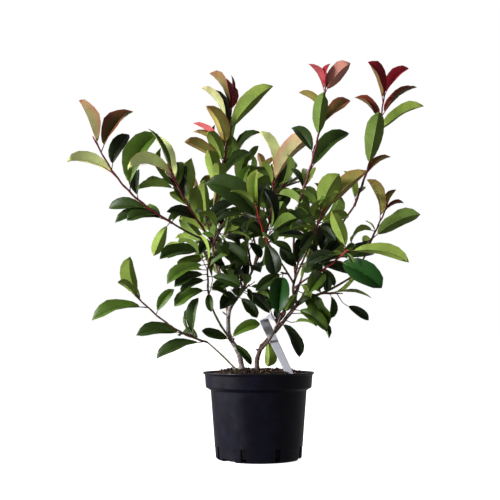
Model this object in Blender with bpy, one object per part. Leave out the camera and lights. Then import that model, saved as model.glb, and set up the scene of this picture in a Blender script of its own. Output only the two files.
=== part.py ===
"""A potted photinia: a young evergreen shrub with red new growth, in a black nursery pot.

Everything is in metres, with +Z up. The origin is the middle of the pot's flat underside,
+X is to the right and -Y is the side that is seen from the front.
Woody limbs are tapering tubes. Each mass of foliage is one leafy shoot: a stem, its side twigs
and its leaves, joined into one solid. Leaves follow the plant's own rule, a spiral round the stem.
"""

import math
import random
from typing import NamedTuple

import bmesh
import bpy
from mathutils import Quaternion, Vector
from mathutils.bvhtree import BVHTree

# The pot, a five litre nursery container
POT_HEIGHT = 0.173
POT_SIDES = 36
BASE_RADIUS = 0.0868
BASE_CHAMFER = 0.0033
BODY_TOP_RADIUS = 0.0975
BAND_FOOT = 0.1365
BAND_SLOPE = 0.006
BAND_LOW_RADIUS = 0.1075
BAND_RADIUS = 0.1095
LIP_RADIUS = 0.1130
LIP_DEPTH = 0.0025
WALL = 0.0018
FLOOR = 0.0030
SLOT_COUNT = 8
SLOT_WIDTH = 0.011
SLOT_TOP = 0.027
SLOT_BITE = 0.0035
SLOT_TURN = math.radians(2)
ARCH_COUNT = 3
ARCH_TURN = math.radians(-45)
ARCH_HALF_ANGLE = math.radians(12)
ARCH_HEIGHT = 0.0055
ARCH_DEPTH = 0.013
OVERCUT = 0.010

# What fills it
SOIL_TOP = 0.178
SOIL_CROWN_RADIUS = 0.066
SOIL_EDGE_DROP = 0.012

# The plain white plant label, pushed into the compost and folded over between the right stems
LABEL_WIDTH = 0.019
LABEL_THICKNESS = 0.0010
LABEL_FOOT = (0.0595, -0.0560, 0.1735)
LABEL_SHOULDER = (0.0130, 0.0020, 0.2740)
LABEL_DEPTH = 0.014

# The limbs' root flare as a share of their radius, and the green stems' radius at foot and tip
ROOT_FLARE = 0.45
STEM_SHARE = 0.9
STEM_RADIUS = 0.0018
STEM_TIP_RADIUS = 0.0010

# Clearances and mesh fineness
GAP = 0.0003
LIMB_SIDES = 6
RING_SPACING = 0.033
STEM_SIDES = 4
LEAF_CLEARANCE = 0.0012
LEAST_KEPT = 0.6

# The leaf, as shares of its blade's length, with the width at each station along the blade
LEAF_HALF_WIDTH = 0.215
LEAF_THICKNESS = 0.016
LEAF_STATIONS = ((0.24, 0.76), (0.52, 1.0), (0.80, 0.70))
STALK_SHARE = 0.16
PETIOLE_RADIUS = 0.0010
UPWARD = 0.9

# The leaves by rule: the spiral's turn from leaf to leaf, the stretch of stem that they stand on,
# how many degrees they stand off it at its foot and at its tip, and the youngest leaf's size
SPIRAL = math.radians(137.5)
SPIRAL_FOOT = 0.08
SPIRAL_TIP = 0.96
FOOT_STAND = 66
TIP_STAND = 22
YOUNG_SIZE = 0.68
GROWN_AGE = 0.39

# Every woody limb: what it grows from and how far along that, its far end, how its middle
# swells off the straight line, and its radius at both ends
LIMBS = {
    "trunk_left": (None, (-0.035, 0, SOIL_TOP), (-0.061, 0, 0.244), (0.007, 0, 0), 0.0056, 0.0047),
    "trunk_right": (None, (-0.003, -0.010, SOIL_TOP), (0.006, -0.010, 0.224), (-0.004, 0, 0),
                    0.0048, 0.0043),
    "stem_low_left": (None, (-0.046, -0.020, SOIL_TOP), (-0.104, -0.040, 0.234), (0, 0, 0.002),
                      0.0020, 0.0016),
    "bough_left": ("trunk_left", 0.99, (-0.056, 0.000, 0.313), (-0.004, 0, 0), 0.0046, 0.0036),
    "bough_left_thin": ("trunk_left", 0.86, (-0.099, -0.050, 0.317), (-0.005, 0, 0), 0.0024, 0.0018),
    "bough_left_high": ("bough_left", 0.99, (-0.097, 0.004, 0.446), (-0.010, 0, 0.004), 0.0034, 0.0025),
    "bough_middle": ("bough_left", 0.84, (-0.001, 0.050, 0.410), (0.003, 0, -0.003), 0.0030, 0.0024),
    "bough_far_left": ("bough_left_high", 0.93, (-0.174, -0.060, 0.471), (0, 0, -0.003), 0.0022, 0.0019),
    "bough_left_top": ("bough_left_high", 0.99, (-0.093, 0.060, 0.531), (0.002, 0, 0), 0.0023, 0.0020),
    "bough_middle_high": ("bough_middle", 0.99, (-0.033, 0.105, 0.531), (0.004, 0, 0), 0.0021, 0.0018),
    "bough_right": ("trunk_right", 0.99, (0.092, 0.010, 0.326), (0, 0, -0.002), 0.0042, 0.0033),
    "bough_right_inner": ("trunk_right", 0.86, (0.034, -0.036, 0.262), (0.002, -0.004, -0.003),
                          0.0028, 0.0024),
    "bough_right_fork": ("bough_right", 0.86, (0.076, -0.010, 0.367), (-0.007, 0, 0), 0.0029, 0.0025),
    "bough_front": ("bough_right_fork", 0.75, (0.017, -0.070, 0.431), (0, 0, 0.002), 0.0020, 0.0018),
    "bough_right_front": ("bough_right_fork", 0.90, (0.110, -0.080, 0.446), (0, 0, 0), 0.0020, 0.0018),
    "bough_right_high": ("bough_right_fork", 0.99, (0.083, -0.055, 0.518), (-0.008, 0, 0), 0.0024, 0.0020),
    "bough_right_low": ("bough_right_fork", 0.55, (0.121, -0.065, 0.372), (0, 0, 0.003), 0.0019, 0.0017),
    "bough_right_side": ("bough_right", 0.94, (0.201, 0.075, 0.372), (0, 0, -0.006), 0.0029, 0.0022),
    "bough_right_top": ("bough_right", 0.99, (0.205, 0.045, 0.522), (-0.006, 0, 0.004), 0.0026, 0.0020),
    "bough_far_right": ("bough_right_side", 0.99, (0.244, 0.105, 0.448), (0.003, 0, -0.003), 0.0021, 0.0018),
    "bough_back_left": ("bough_left", 0.60, (-0.095, 0.135, 0.440), (0, 0.010, 0), 0.0026, 0.0019),
    "bough_back_middle": ("bough_middle", 0.80, (0.015, 0.165, 0.500), (0, 0.010, 0), 0.0021, 0.0017),
    "bough_back_right": ("bough_right", 0.70, (0.115, 0.140, 0.430), (0, 0.010, 0), 0.0024, 0.0018),
}


class Shoot(NamedTuple):
    """A mass of foliage: one leafy stem, with leaves that show one by one and leaves by rule."""

    carrier: str  # the limb that it grows from
    share: float  # and how far along that
    tip: tuple  # where its stem ends
    bow: tuple  # how the stem's middle swells off the straight line
    size: int  # full length of a leaf by rule, in mm
    count: int  # how many leaves the spiral offers, of which those with room are kept
    heading: int  # where the spiral starts: 0 faces the front, 90 the right
    spread: float  # how far the spiral's leaves reach sideways, as a share of their reach in depth
    shown: tuple = ()  # leaves that show one by one


# Leaves that show one by one: how far along the stem each joins it, how far its tip lies from
# there to the right, to the back and up, in mm, by how many degrees its upper side is turned to
# the back (more than 0) or to the front (less than 0), and, where it differs, its curl in
# degrees and how wide it is against the usual leaf
SHOOTS = {
    "foliage_far_left": Shoot(
        "bough_far_left", 0.99, (-0.320, -0.130, 0.626), (-0.014, 0, -0.014), 88, 2, 200, 0.3,
        ((0.90, -42, 19, 105, -30), (0.88, 58, 24, 90, -40), (0.71, 30, 29, 79, -40),
         (0.62, -89, -29, 50, 40, 60, 0.9), (0.46, 55, -24, 113, -65, 50, 1.2), (0.36, -9, 43, 70, -20),
         (0.22, -87, 10, 6, -35), (0.13, -63, -24, -4, -50), (0.05, -105, -10, -4, -40),
         (0.02, -30, -19, -71, 20))),
    "foliage_left_front": Shoot(
        "bough_left_high", 0.955, (-0.176, -0.120, 0.575), (-0.006, 0, 0), 88, 3, 0, 0.6,
        ((0.80, -84, -58, 42, 50, 75), (0.88, -45, -24, 92, 30, 50), (0.74, -48, 19, 108, -40),
         (0.45, 0, 14, 104, -30, 34, 1.2), (0.71, -8, 39, 64, -20), (0.68, -39, 48, 44, -20),
         (0.16, -19, -39, 81, 25), (0.27, -61, -39, 16, -60), (0.41, -6, 29, 76, -20),
         (0.19, 68, -19, 49, -45))),
    "foliage_left_top": Shoot(
        "bough_left_top", 0.99, (-0.058, 0.110, 0.751), (0.004, 0, 0), 88, 3, 0, 0.4,
        ((0.90, -31, 25, 112, -30), (0.96, 3, -8, 79, 0, 30, 0.6), (0.74, -58, 16, 105, -15),
         (0.69, 98, -26, 108, 35, 45, 0.85), (0.53, -42, -26, 96, 30), (0.52, -71, -16, 71, 30),
         (0.50, -69, -5, 51, -20), (0.59, -7, 21, 49, -20), (0.38, -83, -26, 48, 40),
         (0.62, -75, -20, -39, -30), (0.38, -39, -31, 64, 50), (0.37, 17, 26, 75, -30),
         (0.10, -17, -42, 87, 20), (0.23, 68, 26, 68, -50), (0.03, 42, 42, 14, -40))),
    "foliage_middle_high": Shoot(
        "bough_middle_high", 0.99, (-0.057, 0.170, 0.662), (-0.002, 0, 0), 88, 4, 90, 0.8,
        ((0.69, 59, 26, 92, -40, 70), (0.86, 48, 48, 109, -40), (0.10, 19, 21, 84, -30),
         (0.37, 38, -21, 63, 20), (0.12, -50, 21, -7, -40))),
    "foliage_centre": Shoot(
        "bough_middle", 0.99, (0.031, 0.030, 0.565), (0.008, 0, 0), 88, 3, 0, 0.6,
        ((0.96, -27, -25, 116, 30), (0.95, 65, -32, 116, 35, 40, 0.8), (0.98, 5, 8, 60, -20),
         (0.89, 55, 38, 99, -40), (0.86, -24, 15, 26, -20), (0.60, -15, 25, 63, -30),
         (0.39, 49, 30, 85, -40), (0.32, -8, 30, -68, -40))),
    "foliage_front": Shoot(
        "bough_front", 0.99, (-0.006, -0.120, 0.497), (-0.002, 0, 0), 94, 3, 0, 0.8,
        ((0.85, -4, -34, 76, 0), (0.48, -110, -19, 82, -60, 60), (0.06, 114, -15, 53, -45),
         (0.04, -74, -29, 36, -50), (0.04, 16, -12, -69, -50, 30, 1.3), (0.20, -47, 19, 51, -30),
         (0.04, 51, 5, -24, -35))),
    "foliage_right_high": Shoot(
        "bough_right_high", 0.99, (0.132, -0.110, 0.740), (0.008, 0, 0), 88, 3, 180, 0.3,
        ((0.93, -32, -14, 56, 30), (0.97, 8, -8, 48, 0), (0.92, 49, -14, 59, 40),
         (0.97, 16, 14, 40, -20), (0.78, -46, 10, 40, 20), (0.52, 15, -33, 94, 15, 34, 0.8),
         (0.63, 64, 19, 64, -30), (0.39, -41, 31, 68, -40), (0.25, 83, 14, 86, -35),
         (0.09, -23, 10, 48, -20))),
    "foliage_right_front": Shoot(
        "bough_right_front", 0.99, (0.123, -0.130, 0.488), (0, 0, 0), 92, 3, -60, 0.8,
        ((0.75, 32, -34, 77, 60, 34, 1.2), (0.86, 87, -10, 83, 35), (0.43, 64, 19, 20, -40),
         (0.23, -34, -24, -43, -40), (0.40, 31, -34, -35, -40))),
    "foliage_right_top": Shoot(
        "bough_right_top", 0.99, (0.278, 0.070, 0.791), (0.010, 0, 0), 90, 3, 180, 0.3,
        ((0.84, -10, -15, 94, 15), (0.89, 58, 12, 71, -50), (0.92, 8, 16, 52, -20, 30, 0.8),
         (0.72, 81, 15, 76, -20), (0.69, -52, 15, 60, -25), (0.58, 98, -20, 61, 35, 45, 0.85),
         (0.29, 22, -31, 121, 20), (0.25, 51, 15, 52, -20),
         (0.03, -25, -10, 67, 30))),
    "foliage_far_right": Shoot(
        "bough_far_right", 0.99, (0.289, 0.150, 0.533), (0, 0, 0), 80, 2, 180, 0.4,
        ((0.59, -24, 16, 99, 20), (0.89, 31, 12, 56, -30), (0.91, 45, 16, 20, -40),
         (0.80, -12, 10, 54, -20), (0.11, 103, -26, 53, 45), (0.32, -61, -42, -30, 20, 70),
         (0.32, -19, 16, 26, -20), (0.11, -35, -21, -42, -45))),
    "foliage_right_low": Shoot(
        "bough_right_low", 0.99, (0.165, -0.150, 0.406), (0, 0, -0.002), 94, 1, 0, 0.8,
        ((0.96, 118, -19, -19, 20, 60), (0.61, 86, -24, -54, -65), (0.98, -28, -10, 75, 30),
         (0.86, 27, 15, 22, -40), (0.21, 3, 19, -45, -40), (0.71, 76, 29, 14, -40),
         (0.84, -65, 19, -13, -40), (0.70, -61, 37, -15, -40), (0.97, 14, -5, -24, -40),
         (0.97, -26, 29, 49, -40), (0.29, -46, 19, -7, -40))),
    "foliage_right_side": Shoot(
        "bough_right_side", 0.40, (0.170, 0.030, 0.334), (0, 0, 0), 88, 2, 180, 0.8,
        ((0.30, 93, 0, -16, 15), (0.68, 58, -10, 29, 20), (0.46, -1, -30, -53, -20))),
    "foliage_left_thin": Shoot(
        "bough_left_thin", 0.99, (-0.100, -0.080, 0.391), (-0.002, 0, 0), 82, 2, 90, 1,
        ((0.94, -80, -20, -38, -35), (0.68, -64, -25, -25, -40), (0.55, -52, -29, -30, -40),
         (0.27, -66, -20, -32, -40), (0.22, 6, -20, -40, -30), (0.84, 40, -15, 25, -40),
         (0.37, 43, 20, -25, -40), (0.63, 65, -20, -21, -40))),
    "foliage_left_side": Shoot(
        "bough_left_high", 0.70, (-0.152, 0.060, 0.433), (0, 0, 0.004), 86, 2, 180, 0.8,
        ((0.22, -95, -41, -13, -40, 60), (0.36, -74, -20, -14, -45))),
    "foliage_low_left": Shoot(
        "stem_low_left", 0.99, (-0.246, -0.080, 0.328), (0.004, 0, -0.018), 84, 2, 180, 0.3,
        ((0.82, -111, -10, -23, -30), (0.34, -93, -19, 10, -45), (0.93, -19, -15, 84, 10),
         (0.90, -25, 19, 36, -20, 30, 0.8), (0.72, 36, -15, 49, -30), (0.42, -64, 24, 3, -40),
         (0.03, -96, -19, -31, -30), (0.20, 8, -15, 80, -45), (0.22, -10, 14, 56, 30))),
    "foliage_inner": Shoot(
        "bough_right_inner", 0.99, (0.047, -0.040, 0.290), (0, 0, 0), 80, 2, 180, 1,
        ((0.51, 41, -20, -72, -30), (0.82, -31, -30, 32, -30))),
    "foliage_foot_left": Shoot(
        "trunk_left", 0.80, (-0.060, -0.022, 0.240), (0, 0, 0), 76, 0, 0, 1,
        ((0.60, -58, -20, 20, -50), (0.85, 62, -8, 32, -40), (0.50, 22, -12, -42, -30))),
    "foliage_fork": Shoot(
        "bough_right_fork", 0.35, (0.085, -0.032, 0.356), (0, 0, 0), 80, 2, 0, 1,
        ((0.86, 23, -20, -31, 20), (0.92, 53, -15, 12, 20), (0.72, 47, 5, -16, -30),
         (0.33, 63, -20, -73, -50, 60))),
    "foliage_front_low": Shoot(
        "bough_front", 0.22, (0.046, -0.050, 0.372), (0, 0, 0), 90, 1, 90, 1,
        ((0.75, -12, -14, -84, -20), (0.66, -57, -15, -37, -40))),
    "foliage_heart_left": Shoot(
        "bough_left_high", 0.86, (-0.072, -0.045, 0.470), (0, 0, 0), 86, 1, 0, 1,
        ((0.19, 67, -25, -50, -55, 34, 1.35), (0.80, -3, 35, 54, -40))),
    "foliage_heart_middle": Shoot(
        "bough_middle", 0.75, (-0.026, 0.000, 0.447), (0, 0, 0), 86, 2, 0, 1,
        ((0.40, -12, -10, -54, -45), (0.28, -47, -5, 39, -45), (0.94, 33, 15, 18, -30),
         (0.82, -19, 15, 39, -30))),
    "foliage_heart_low": Shoot(
        "bough_middle", 0.38, (-0.038, -0.015, 0.378), (0, 0, 0), 86, 1, 0, 1,
        ((0.53, -59, -20, -21, -45, 34, 1.2), (0.89, -39, -10, 7, -30), (0.84, -22, 20, 34, -30),
         (0.94, 14, -15, 31, -40))),
    "foliage_heart_front": Shoot(
        "bough_middle", 0.22, (-0.022, -0.020, 0.347), (0, 0, 0), 86, 1, 0, 1,
        ((0.12, 38, -15, -44, -50, 34, 1.2), (0.52, 55, -20, -44, -50), (0.87, 11, -20, -30, -40),
         (1.00, 47, 5, -20, -30))),
    "foliage_heart_right": Shoot(
        "bough_right_high", 0.06, (0.081, -0.045, 0.396), (0, 0, 0), 86, 2, 0, 1,
        ((0.47, 7, -15, 57, -60, 30, 1.3), (0.39, -19, -15, 20, -40), (0.72, 51, -12, -16, -40))),
    "foliage_heart_fork": Shoot(
        "bough_right_top", 0.20, (0.130, -0.012, 0.409), (0, 0, 0), 86, 2, 0, 1,
        ((0.95, 13, 10, 75, -40, 34, 1.3), (0.90, 47, 12, 53, -40), (0.82, -34, -10, 36, -40),
         (0.58, 67, -10, -17, -50), (0.82, 61, 20, 5, -40), (0.49, 36, -10, -40, -40))),
    "foliage_under": Shoot(
        "bough_right", 0.50, (0.075, -0.028, 0.302), (0, 0, 0), 80, 2, 0, 1,
        ((0.90, 72, -15, -38, -40, 50),)),
    "foliage_foot_right": Shoot(
        "bough_right", 0.14, (0.022, 0.022, 0.246), (0, 0, 0), 70, 1, 0, 1,
        ((0.47, 1, 0, -59, -40),)),
    "foliage_back_left": Shoot(
        "bough_back_left", 0.99, (-0.139, 0.235, 0.580), (0, 0.008, 0), 92, 10, 180, 1,
        ((0.13, 42, 10, 43, -40), (0.68, 49, 10, 33, -40), (0.81, 7, 10, 68, -40),
         (0.39, -48, 0, 27, -40))),
    "foliage_back_middle": Shoot(
        "bough_back_middle", 0.99, (0.010, 0.260, 0.630), (0, 0.008, 0), 92, 10, 180, 1),
    "foliage_back_right": Shoot(
        "bough_back_right", 0.99, (0.156, 0.240, 0.560), (0, 0.008, 0), 92, 10, 180, 1),
}


def clear_scene():
    """Removes what the file opened with."""
    for obj in list(bpy.data.objects):
        bpy.data.objects.remove(obj)


def make_material(name, colour, roughness):
    """A plain Principled material."""
    material = bpy.data.materials.new(name)
    material.use_nodes = True
    shader = material.node_tree.nodes["Principled BSDF"]
    shader.inputs["Base Color"].default_value = (*colour, 1.0)
    shader.inputs["Roughness"].default_value = roughness
    shader.inputs["Metallic"].default_value = 0.0
    return material


def add_object(name, points, faces, material):
    """One mesh object in the scene, with its material."""
    mesh = bpy.data.meshes.new(name)
    mesh.from_pydata([tuple(p) for p in points], [], faces)
    mesh.update()
    obj = bpy.data.objects.new(name, mesh)
    bpy.context.scene.collection.objects.link(obj)
    if material:
        mesh.materials.append(material)
    return obj


def face_outwards(obj):
    """Makes all the faces of a closed mesh point out."""
    shape = bmesh.new()
    shape.from_mesh(obj.data)
    bmesh.ops.recalc_face_normals(shape, faces=shape.faces)
    shape.to_mesh(obj.data)
    shape.free()


def apply_boolean(obj, operation, others):
    """Applies one Boolean with the collection of others, which are then removed.

    A solver that fails leaves hardly any corners, and then the next one starts from the same mesh.
    """
    helpers = bpy.data.collections.new("helpers")
    bpy.context.scene.collection.children.link(helpers)
    corners = len(obj.data.vertices)
    for other in others:
        bpy.context.scene.collection.objects.unlink(other)
        helpers.objects.link(other)
        corners += len(other.data.vertices) if operation == "UNION" else 0
    for solver in ("EXACT", "MANIFOLD"):
        before = obj.data.copy()
        boolean = obj.modifiers.new("boolean", "BOOLEAN")
        boolean.operation = operation
        boolean.solver = solver
        boolean.operand_type = "COLLECTION"
        boolean.collection = helpers
        with bpy.context.temp_override(object=obj, active_object=obj, selected_objects=[obj]):
            bpy.ops.object.modifier_apply(modifier=boolean.name)
        if len(obj.data.vertices) > LEAST_KEPT * corners:
            break
        print(f"{obj.name}: {solver} kept {len(obj.data.vertices)} of {corners} corners")
        obj.data = before
    for other in others:
        bpy.data.objects.remove(other)
    bpy.data.collections.remove(helpers)


def drop_scraps(obj):
    """Keeps only the largest connected piece of a mesh."""
    shape = bmesh.new()
    shape.from_mesh(obj.data)
    unseen = set(shape.verts)
    pieces = []
    while unseen:
        piece = {unseen.pop()}
        edge = list(piece)
        while edge:
            for link in edge.pop().link_edges:
                for vert in link.verts:
                    if vert in unseen:
                        unseen.discard(vert)
                        piece.add(vert)
                        edge.append(vert)
        pieces.append(piece)
    largest = max(pieces, key=len)
    bmesh.ops.delete(shape, geom=[v for v in shape.verts if v not in largest], context="VERTS")
    shape.to_mesh(obj.data)
    shape.free()
    return len(pieces) - 1


# The woody limbs


class Limb:
    """A tapering limb on a line from start to end whose middle swells sideways by bow."""

    def __init__(self, start, end, bow, radius, tip_radius, flare=0.0):
        self.start = Vector(start)
        self.end = Vector(end)
        self.bow = Vector(bow)
        self.radius = radius
        self.tip_radius = tip_radius
        self.flare = flare

    def point(self, share):
        """The straight line plus the bow times a half sine wave."""
        return self.start.lerp(self.end, share) + self.bow * math.sin(math.pi * share)

    def tangent(self, share):
        """The unit direction of growth there."""
        slope = self.end - self.start + self.bow * (math.pi * math.cos(math.pi * share))
        return slope.normalized()

    def radius_at(self, share):
        """An even taper, with the root flare dying away over the first sixth."""
        taper = self.radius + (self.tip_radius - self.radius) * share
        return taper + self.flare * max(0.0, 1 - 6 * share) ** 2

    def length(self):
        """The straight distance between the ends."""
        return (self.end - self.start).length


def sideways(tangent, heading):
    """The unit direction square to tangent at that heading: 0 faces the front, 90 the right."""
    front = Vector((0, -1, 0))
    front = (front - tangent * front.dot(tangent)).normalized()
    return Quaternion(tangent, heading) @ front


def ring(centre, tangent, radius, sides):
    """A polygon of points round centre, square to tangent."""
    turns = [2 * math.pi * i / sides for i in range(sides)]
    return [centre + sideways(tangent, turn) * radius for turn in turns]


def tube_mesh(limb, sides, steps, grow=0.0, level_foot=False):
    """Points and faces of the limb's closed tube. grow makes a fatter, longer one."""
    points = []
    for i in range(steps + 1):
        share = i / steps
        tangent = limb.tangent(share)
        centre = limb.point(share)
        if i == 0:
            tangent = Vector((0, 0, 1)) if level_foot else tangent
            centre = centre - tangent * grow
        elif i == steps:
            centre = centre + tangent * grow
        points += ring(centre, tangent, limb.radius_at(share) + grow, sides)
    faces = [
        (row + k, row + (k + 1) % sides, row + sides + (k + 1) % sides, row + sides + k)
        for row in range(0, steps * sides, sides)
        for k in range(sides)
    ]
    last = steps * sides
    faces.append(tuple(range(sides - 1, -1, -1)))
    faces.append(tuple(range(last, last + sides)))
    return points, faces


def steps_for(limb):
    """How many lengths between rings a limb has, at least three."""
    return max(3, round(limb.length() / RING_SPACING))


def make_limbs():
    """All the woody limbs by name, each starting on the axis of the one that carries it."""
    limbs = {}
    for name, entry in LIMBS.items():
        if entry[0] is None:
            start, flare = Vector(entry[1]), entry[4] * ROOT_FLARE
            start.z += GAP
        else:
            start, flare = limbs[entry[0]].point(entry[1]), 0.0
        limbs[name] = Limb(start, entry[2], entry[3], entry[4], entry[5], flare)
    return limbs


def cut_clear(obj, limbs, own=None):
    """Cuts an object back to fatter copies of the limbs that it meets, and keeps the largest piece."""
    corners = [v.co for v in obj.data.vertices]
    tree = BVHTree.FromPolygons(corners, [p.vertices for p in obj.data.polygons])
    cutters = []
    for name, limb in limbs.items():
        if name == own:
            break
        points, faces = tube_mesh(limb, LIMB_SIDES, steps_for(limb), GAP)
        if tree.overlap(BVHTree.FromPolygons(points, faces)):
            cutters.append(add_object(name + "_clearance", points, faces, None))
    if cutters:
        apply_boolean(obj, "DIFFERENCE", cutters)
    return drop_scraps(obj)


def build_limbs(limbs, bark):
    """One object for each limb, its foot cut to the limbs before it."""
    for name, limb in limbs.items():
        points, faces = tube_mesh(limb, LIMB_SIDES, steps_for(limb), level_foot=LIMBS[name][0] is None)
        obj = add_object(name, points, faces, bark)
        cut_clear(obj, limbs, name)


# The leaves


class Leaf:
    """One leaf on its stalk: a blade folded up along its midrib, whose tip curls back.

    reach is where its tip lies from its foot on the stem. The midrib is an arc of the angle curl
    that bows towards the direction bow, and the blade is turned by the angle turn about it.
    """

    def __init__(self, foot, reach, bow, turn, half_width, fold, curl):
        chord = reach.normalized()
        bow = (bow - chord * bow.dot(chord)).normalized()
        ahead = STALK_SHARE + math.sin(curl) / curl
        back = (1 - math.cos(curl)) / curl
        lead = math.atan2(back, ahead)
        self.foot = foot
        self.length = reach.length / math.hypot(ahead, back)
        self.stalk = STALK_SHARE * self.length
        self.direction = chord * math.cos(lead) + bow * math.sin(lead)
        self.bow = bow * math.cos(lead) - chord * math.sin(lead)
        self.turn = turn
        self.half_width = half_width * self.length
        self.fold = fold
        self.curl = curl

    def midrib(self, share):
        """Point, direction, upper normal and right-hand side at that share of the midrib's arc."""
        bend = self.curl * share
        ahead = math.sin(bend) / self.curl
        back = (1 - math.cos(bend)) / self.curl
        base = self.foot + self.direction * self.stalk
        point = base + (self.direction * ahead - self.bow * back) * self.length
        direction = self.direction * math.cos(bend) - self.bow * math.sin(bend)
        upper = self.direction * math.sin(bend) + self.bow * math.cos(bend)
        upper = Quaternion(direction, self.turn) @ upper
        return point, direction, upper, direction.cross(upper)

    def section(self, share, width, thickness):
        """Left edge, top of the midrib, right edge and underside of the midrib."""
        point, _, upper, side = self.midrib(share)
        rise = upper * (math.sin(self.fold) * width)
        reach = side * (math.cos(self.fold) * width)
        return [point - reach + rise, point, point + reach + rise, point - upper * thickness]

    def stalk_section(self, along, radius):
        """A small diamond round the stalk."""
        _, _, upper, side = self.midrib(0.0)
        centre = self.foot + self.direction * along
        ways = (-side, upper, side, -upper)
        return [centre + way * radius for way in ways]

    def mesh(self, spread=0.0):
        """Points and faces of the closed solid. spread makes a larger one, to test for room."""
        thickness = LEAF_THICKNESS * self.length + spread
        rows = [
            self.stalk_section(0.0, PETIOLE_RADIUS),
            self.stalk_section(self.stalk, PETIOLE_RADIUS + spread / 2),
        ]
        for share, wide in LEAF_STATIONS:
            rows.append(self.section(share, self.half_width * wide + spread, thickness))
        points = [p for row in rows for p in row]
        tip, direction, upper, _ = self.midrib(1.0)
        points.append(tip + direction * spread - upper * (thickness / 2))
        faces = [(0, 1, 2, 3)]
        for row in range(0, 4 * (len(rows) - 1), 4):
            for k in range(4):
                a, b = row + k, row + (k + 1) % 4
                faces += [(a, a + 4, b + 4), (a, b + 4, b)]
        last = 4 * (len(rows) - 1)
        faces += [(last + k, last + 4, last + (k + 1) % 4) for k in range(4)]
        return points, faces

    def blade_mesh(self):
        """The blade alone, as the closed solid without its stalk."""
        points, faces = self.mesh()
        kept = [tuple(i - 4 for i in f) for f in faces if min(f) >= 4]
        return points[4:], kept + [(0, 1, 2, 3)]


class Space:
    """What stands in the plant so far, to see whether a new leaf has room."""

    def __init__(self):
        self.held = []

    def add(self, owner, kind, points, faces):
        """Takes the room of one solid."""
        centre = sum(points, Vector()) / len(points)
        radius = max((p - centre).length for p in points)
        tree = BVHTree.FromPolygons(points, faces)
        self.held.append((owner, kind, centre, radius, tree))

    def meets(self, points, faces, wanted):
        """Whether a solid touches any held one for which wanted(owner, kind) is true."""
        centre = sum(points, Vector()) / len(points)
        radius = max((p - centre).length for p in points)
        tree = None
        for owner, kind, other_centre, other_radius, other in self.held:
            if not wanted(owner, kind) or (centre - other_centre).length > radius + other_radius:
                continue
            tree = tree or BVHTree.FromPolygons(points, faces)
            if tree.overlap(other):
                return True
        return False


def leaf_has_room(leaf, owner, space):
    """True if the leaf is clear of every other mass and limb, and its blade of its own mass."""
    whole = leaf.mesh(LEAF_CLEARANCE)
    if space.meets(*whole, lambda other, kind: other != owner):
        return False
    blade = leaf.blade_mesh()
    return not space.meets(*blade, lambda other, kind: other == owner and kind != "stalk")


class Wish(NamedTuple):
    """A leaf before it is tried for room."""

    foot: Vector
    tangent: Vector
    reach: Vector
    facing: float
    half_width: float
    fold: float
    curl: float

    def leaf(self, lift, swing):
        """The leaf, lifted towards the stem's tip and swung round the stem by these angles."""
        hinge = self.tangent.cross(self.reach).normalized()
        reach = Quaternion(self.tangent, swing) @ (Quaternion(hinge, -lift) @ self.reach)
        chord = reach.normalized()
        bow = self.tangent + Vector((0, 0, UPWARD)) * math.sin(self.tangent.angle(chord))
        bow = (bow - chord * bow.dot(chord)).normalized()
        towards = Vector((0, math.copysign(1, self.facing), 0))
        towards = (towards - chord * towards.dot(chord)).normalized()
        turn = min(abs(self.facing), bow.angle(towards))
        turn = math.copysign(turn, bow.cross(towards).dot(chord))
        return Leaf(self.foot, reach, bow, turn, self.half_width, self.fold, self.curl)


def shown_wish(stem, entry, chance):
    """A leaf that shows by itself, from its entry in the shoot's table."""
    share, right, back, up, facing, *more = entry
    curl = more[0] if more else chance.uniform(24, 44)
    wide = more[1] if len(more) > 1 else chance.uniform(0.94, 1.06)
    return Wish(
        stem.point(share), stem.tangent(share), Vector((right, back, up)) / 1000, math.radians(facing),
        LEAF_HALF_WIDTH * wide, math.radians(chance.uniform(16, 30)), math.radians(curl),
    )


def spiral_wish(stem, shoot, rank, chance):
    """The leaf that the spiral puts at this rank of the stem, counted from its foot."""
    age = 1 - rank / max(1, shoot.count - 1)
    share = SPIRAL_FOOT + (SPIRAL_TIP - SPIRAL_FOOT) * (1 - age)
    tangent = stem.tangent(share)
    stand = math.radians(TIP_STAND + (FOOT_STAND - TIP_STAND) * age + chance.uniform(-7, 7))
    heading = math.radians(shoot.heading + chance.uniform(-10, 10)) + SPIRAL * rank
    heading = math.atan2(math.sin(heading) * shoot.spread, math.cos(heading))
    outward = sideways(tangent, heading)
    direction = tangent * math.cos(stand) + outward * math.sin(stand)
    grown = YOUNG_SIZE + (1 - YOUNG_SIZE) * min(1.0, age / GROWN_AGE)
    length = shoot.size / 1000 * grown * chance.uniform(0.90, 1.08)
    return Wish(
        stem.point(share), tangent, direction * length, math.radians(chance.uniform(-16, 16)),
        LEAF_HALF_WIDTH * chance.uniform(0.92, 1.08), math.radians(chance.uniform(18, 34)),
        math.radians(chance.uniform(24, 50)),
    )


# How a leaf that has no room may dodge: degrees lifted towards the tip, degrees round the stem
DODGES = ((0, 0), (-7, 0), (7, 0), (0, 12), (0, -12), (-12, 14), (12, -14), (-12, -14), (12, 14),
          (-20, 0), (20, 0), (0, 26), (0, -26))


def place_leaf(name, wish, space):
    """The first way of dodging in which the leaf has room, or nothing."""
    for lift, swing in DODGES:
        leaf = wish.leaf(math.radians(lift), math.radians(swing))
        if leaf_has_room(leaf, name, space):
            space.add(name, "blade", *leaf.blade_mesh())
            space.add(name, "stalk", *leaf.mesh())
            return leaf
    return None


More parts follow.
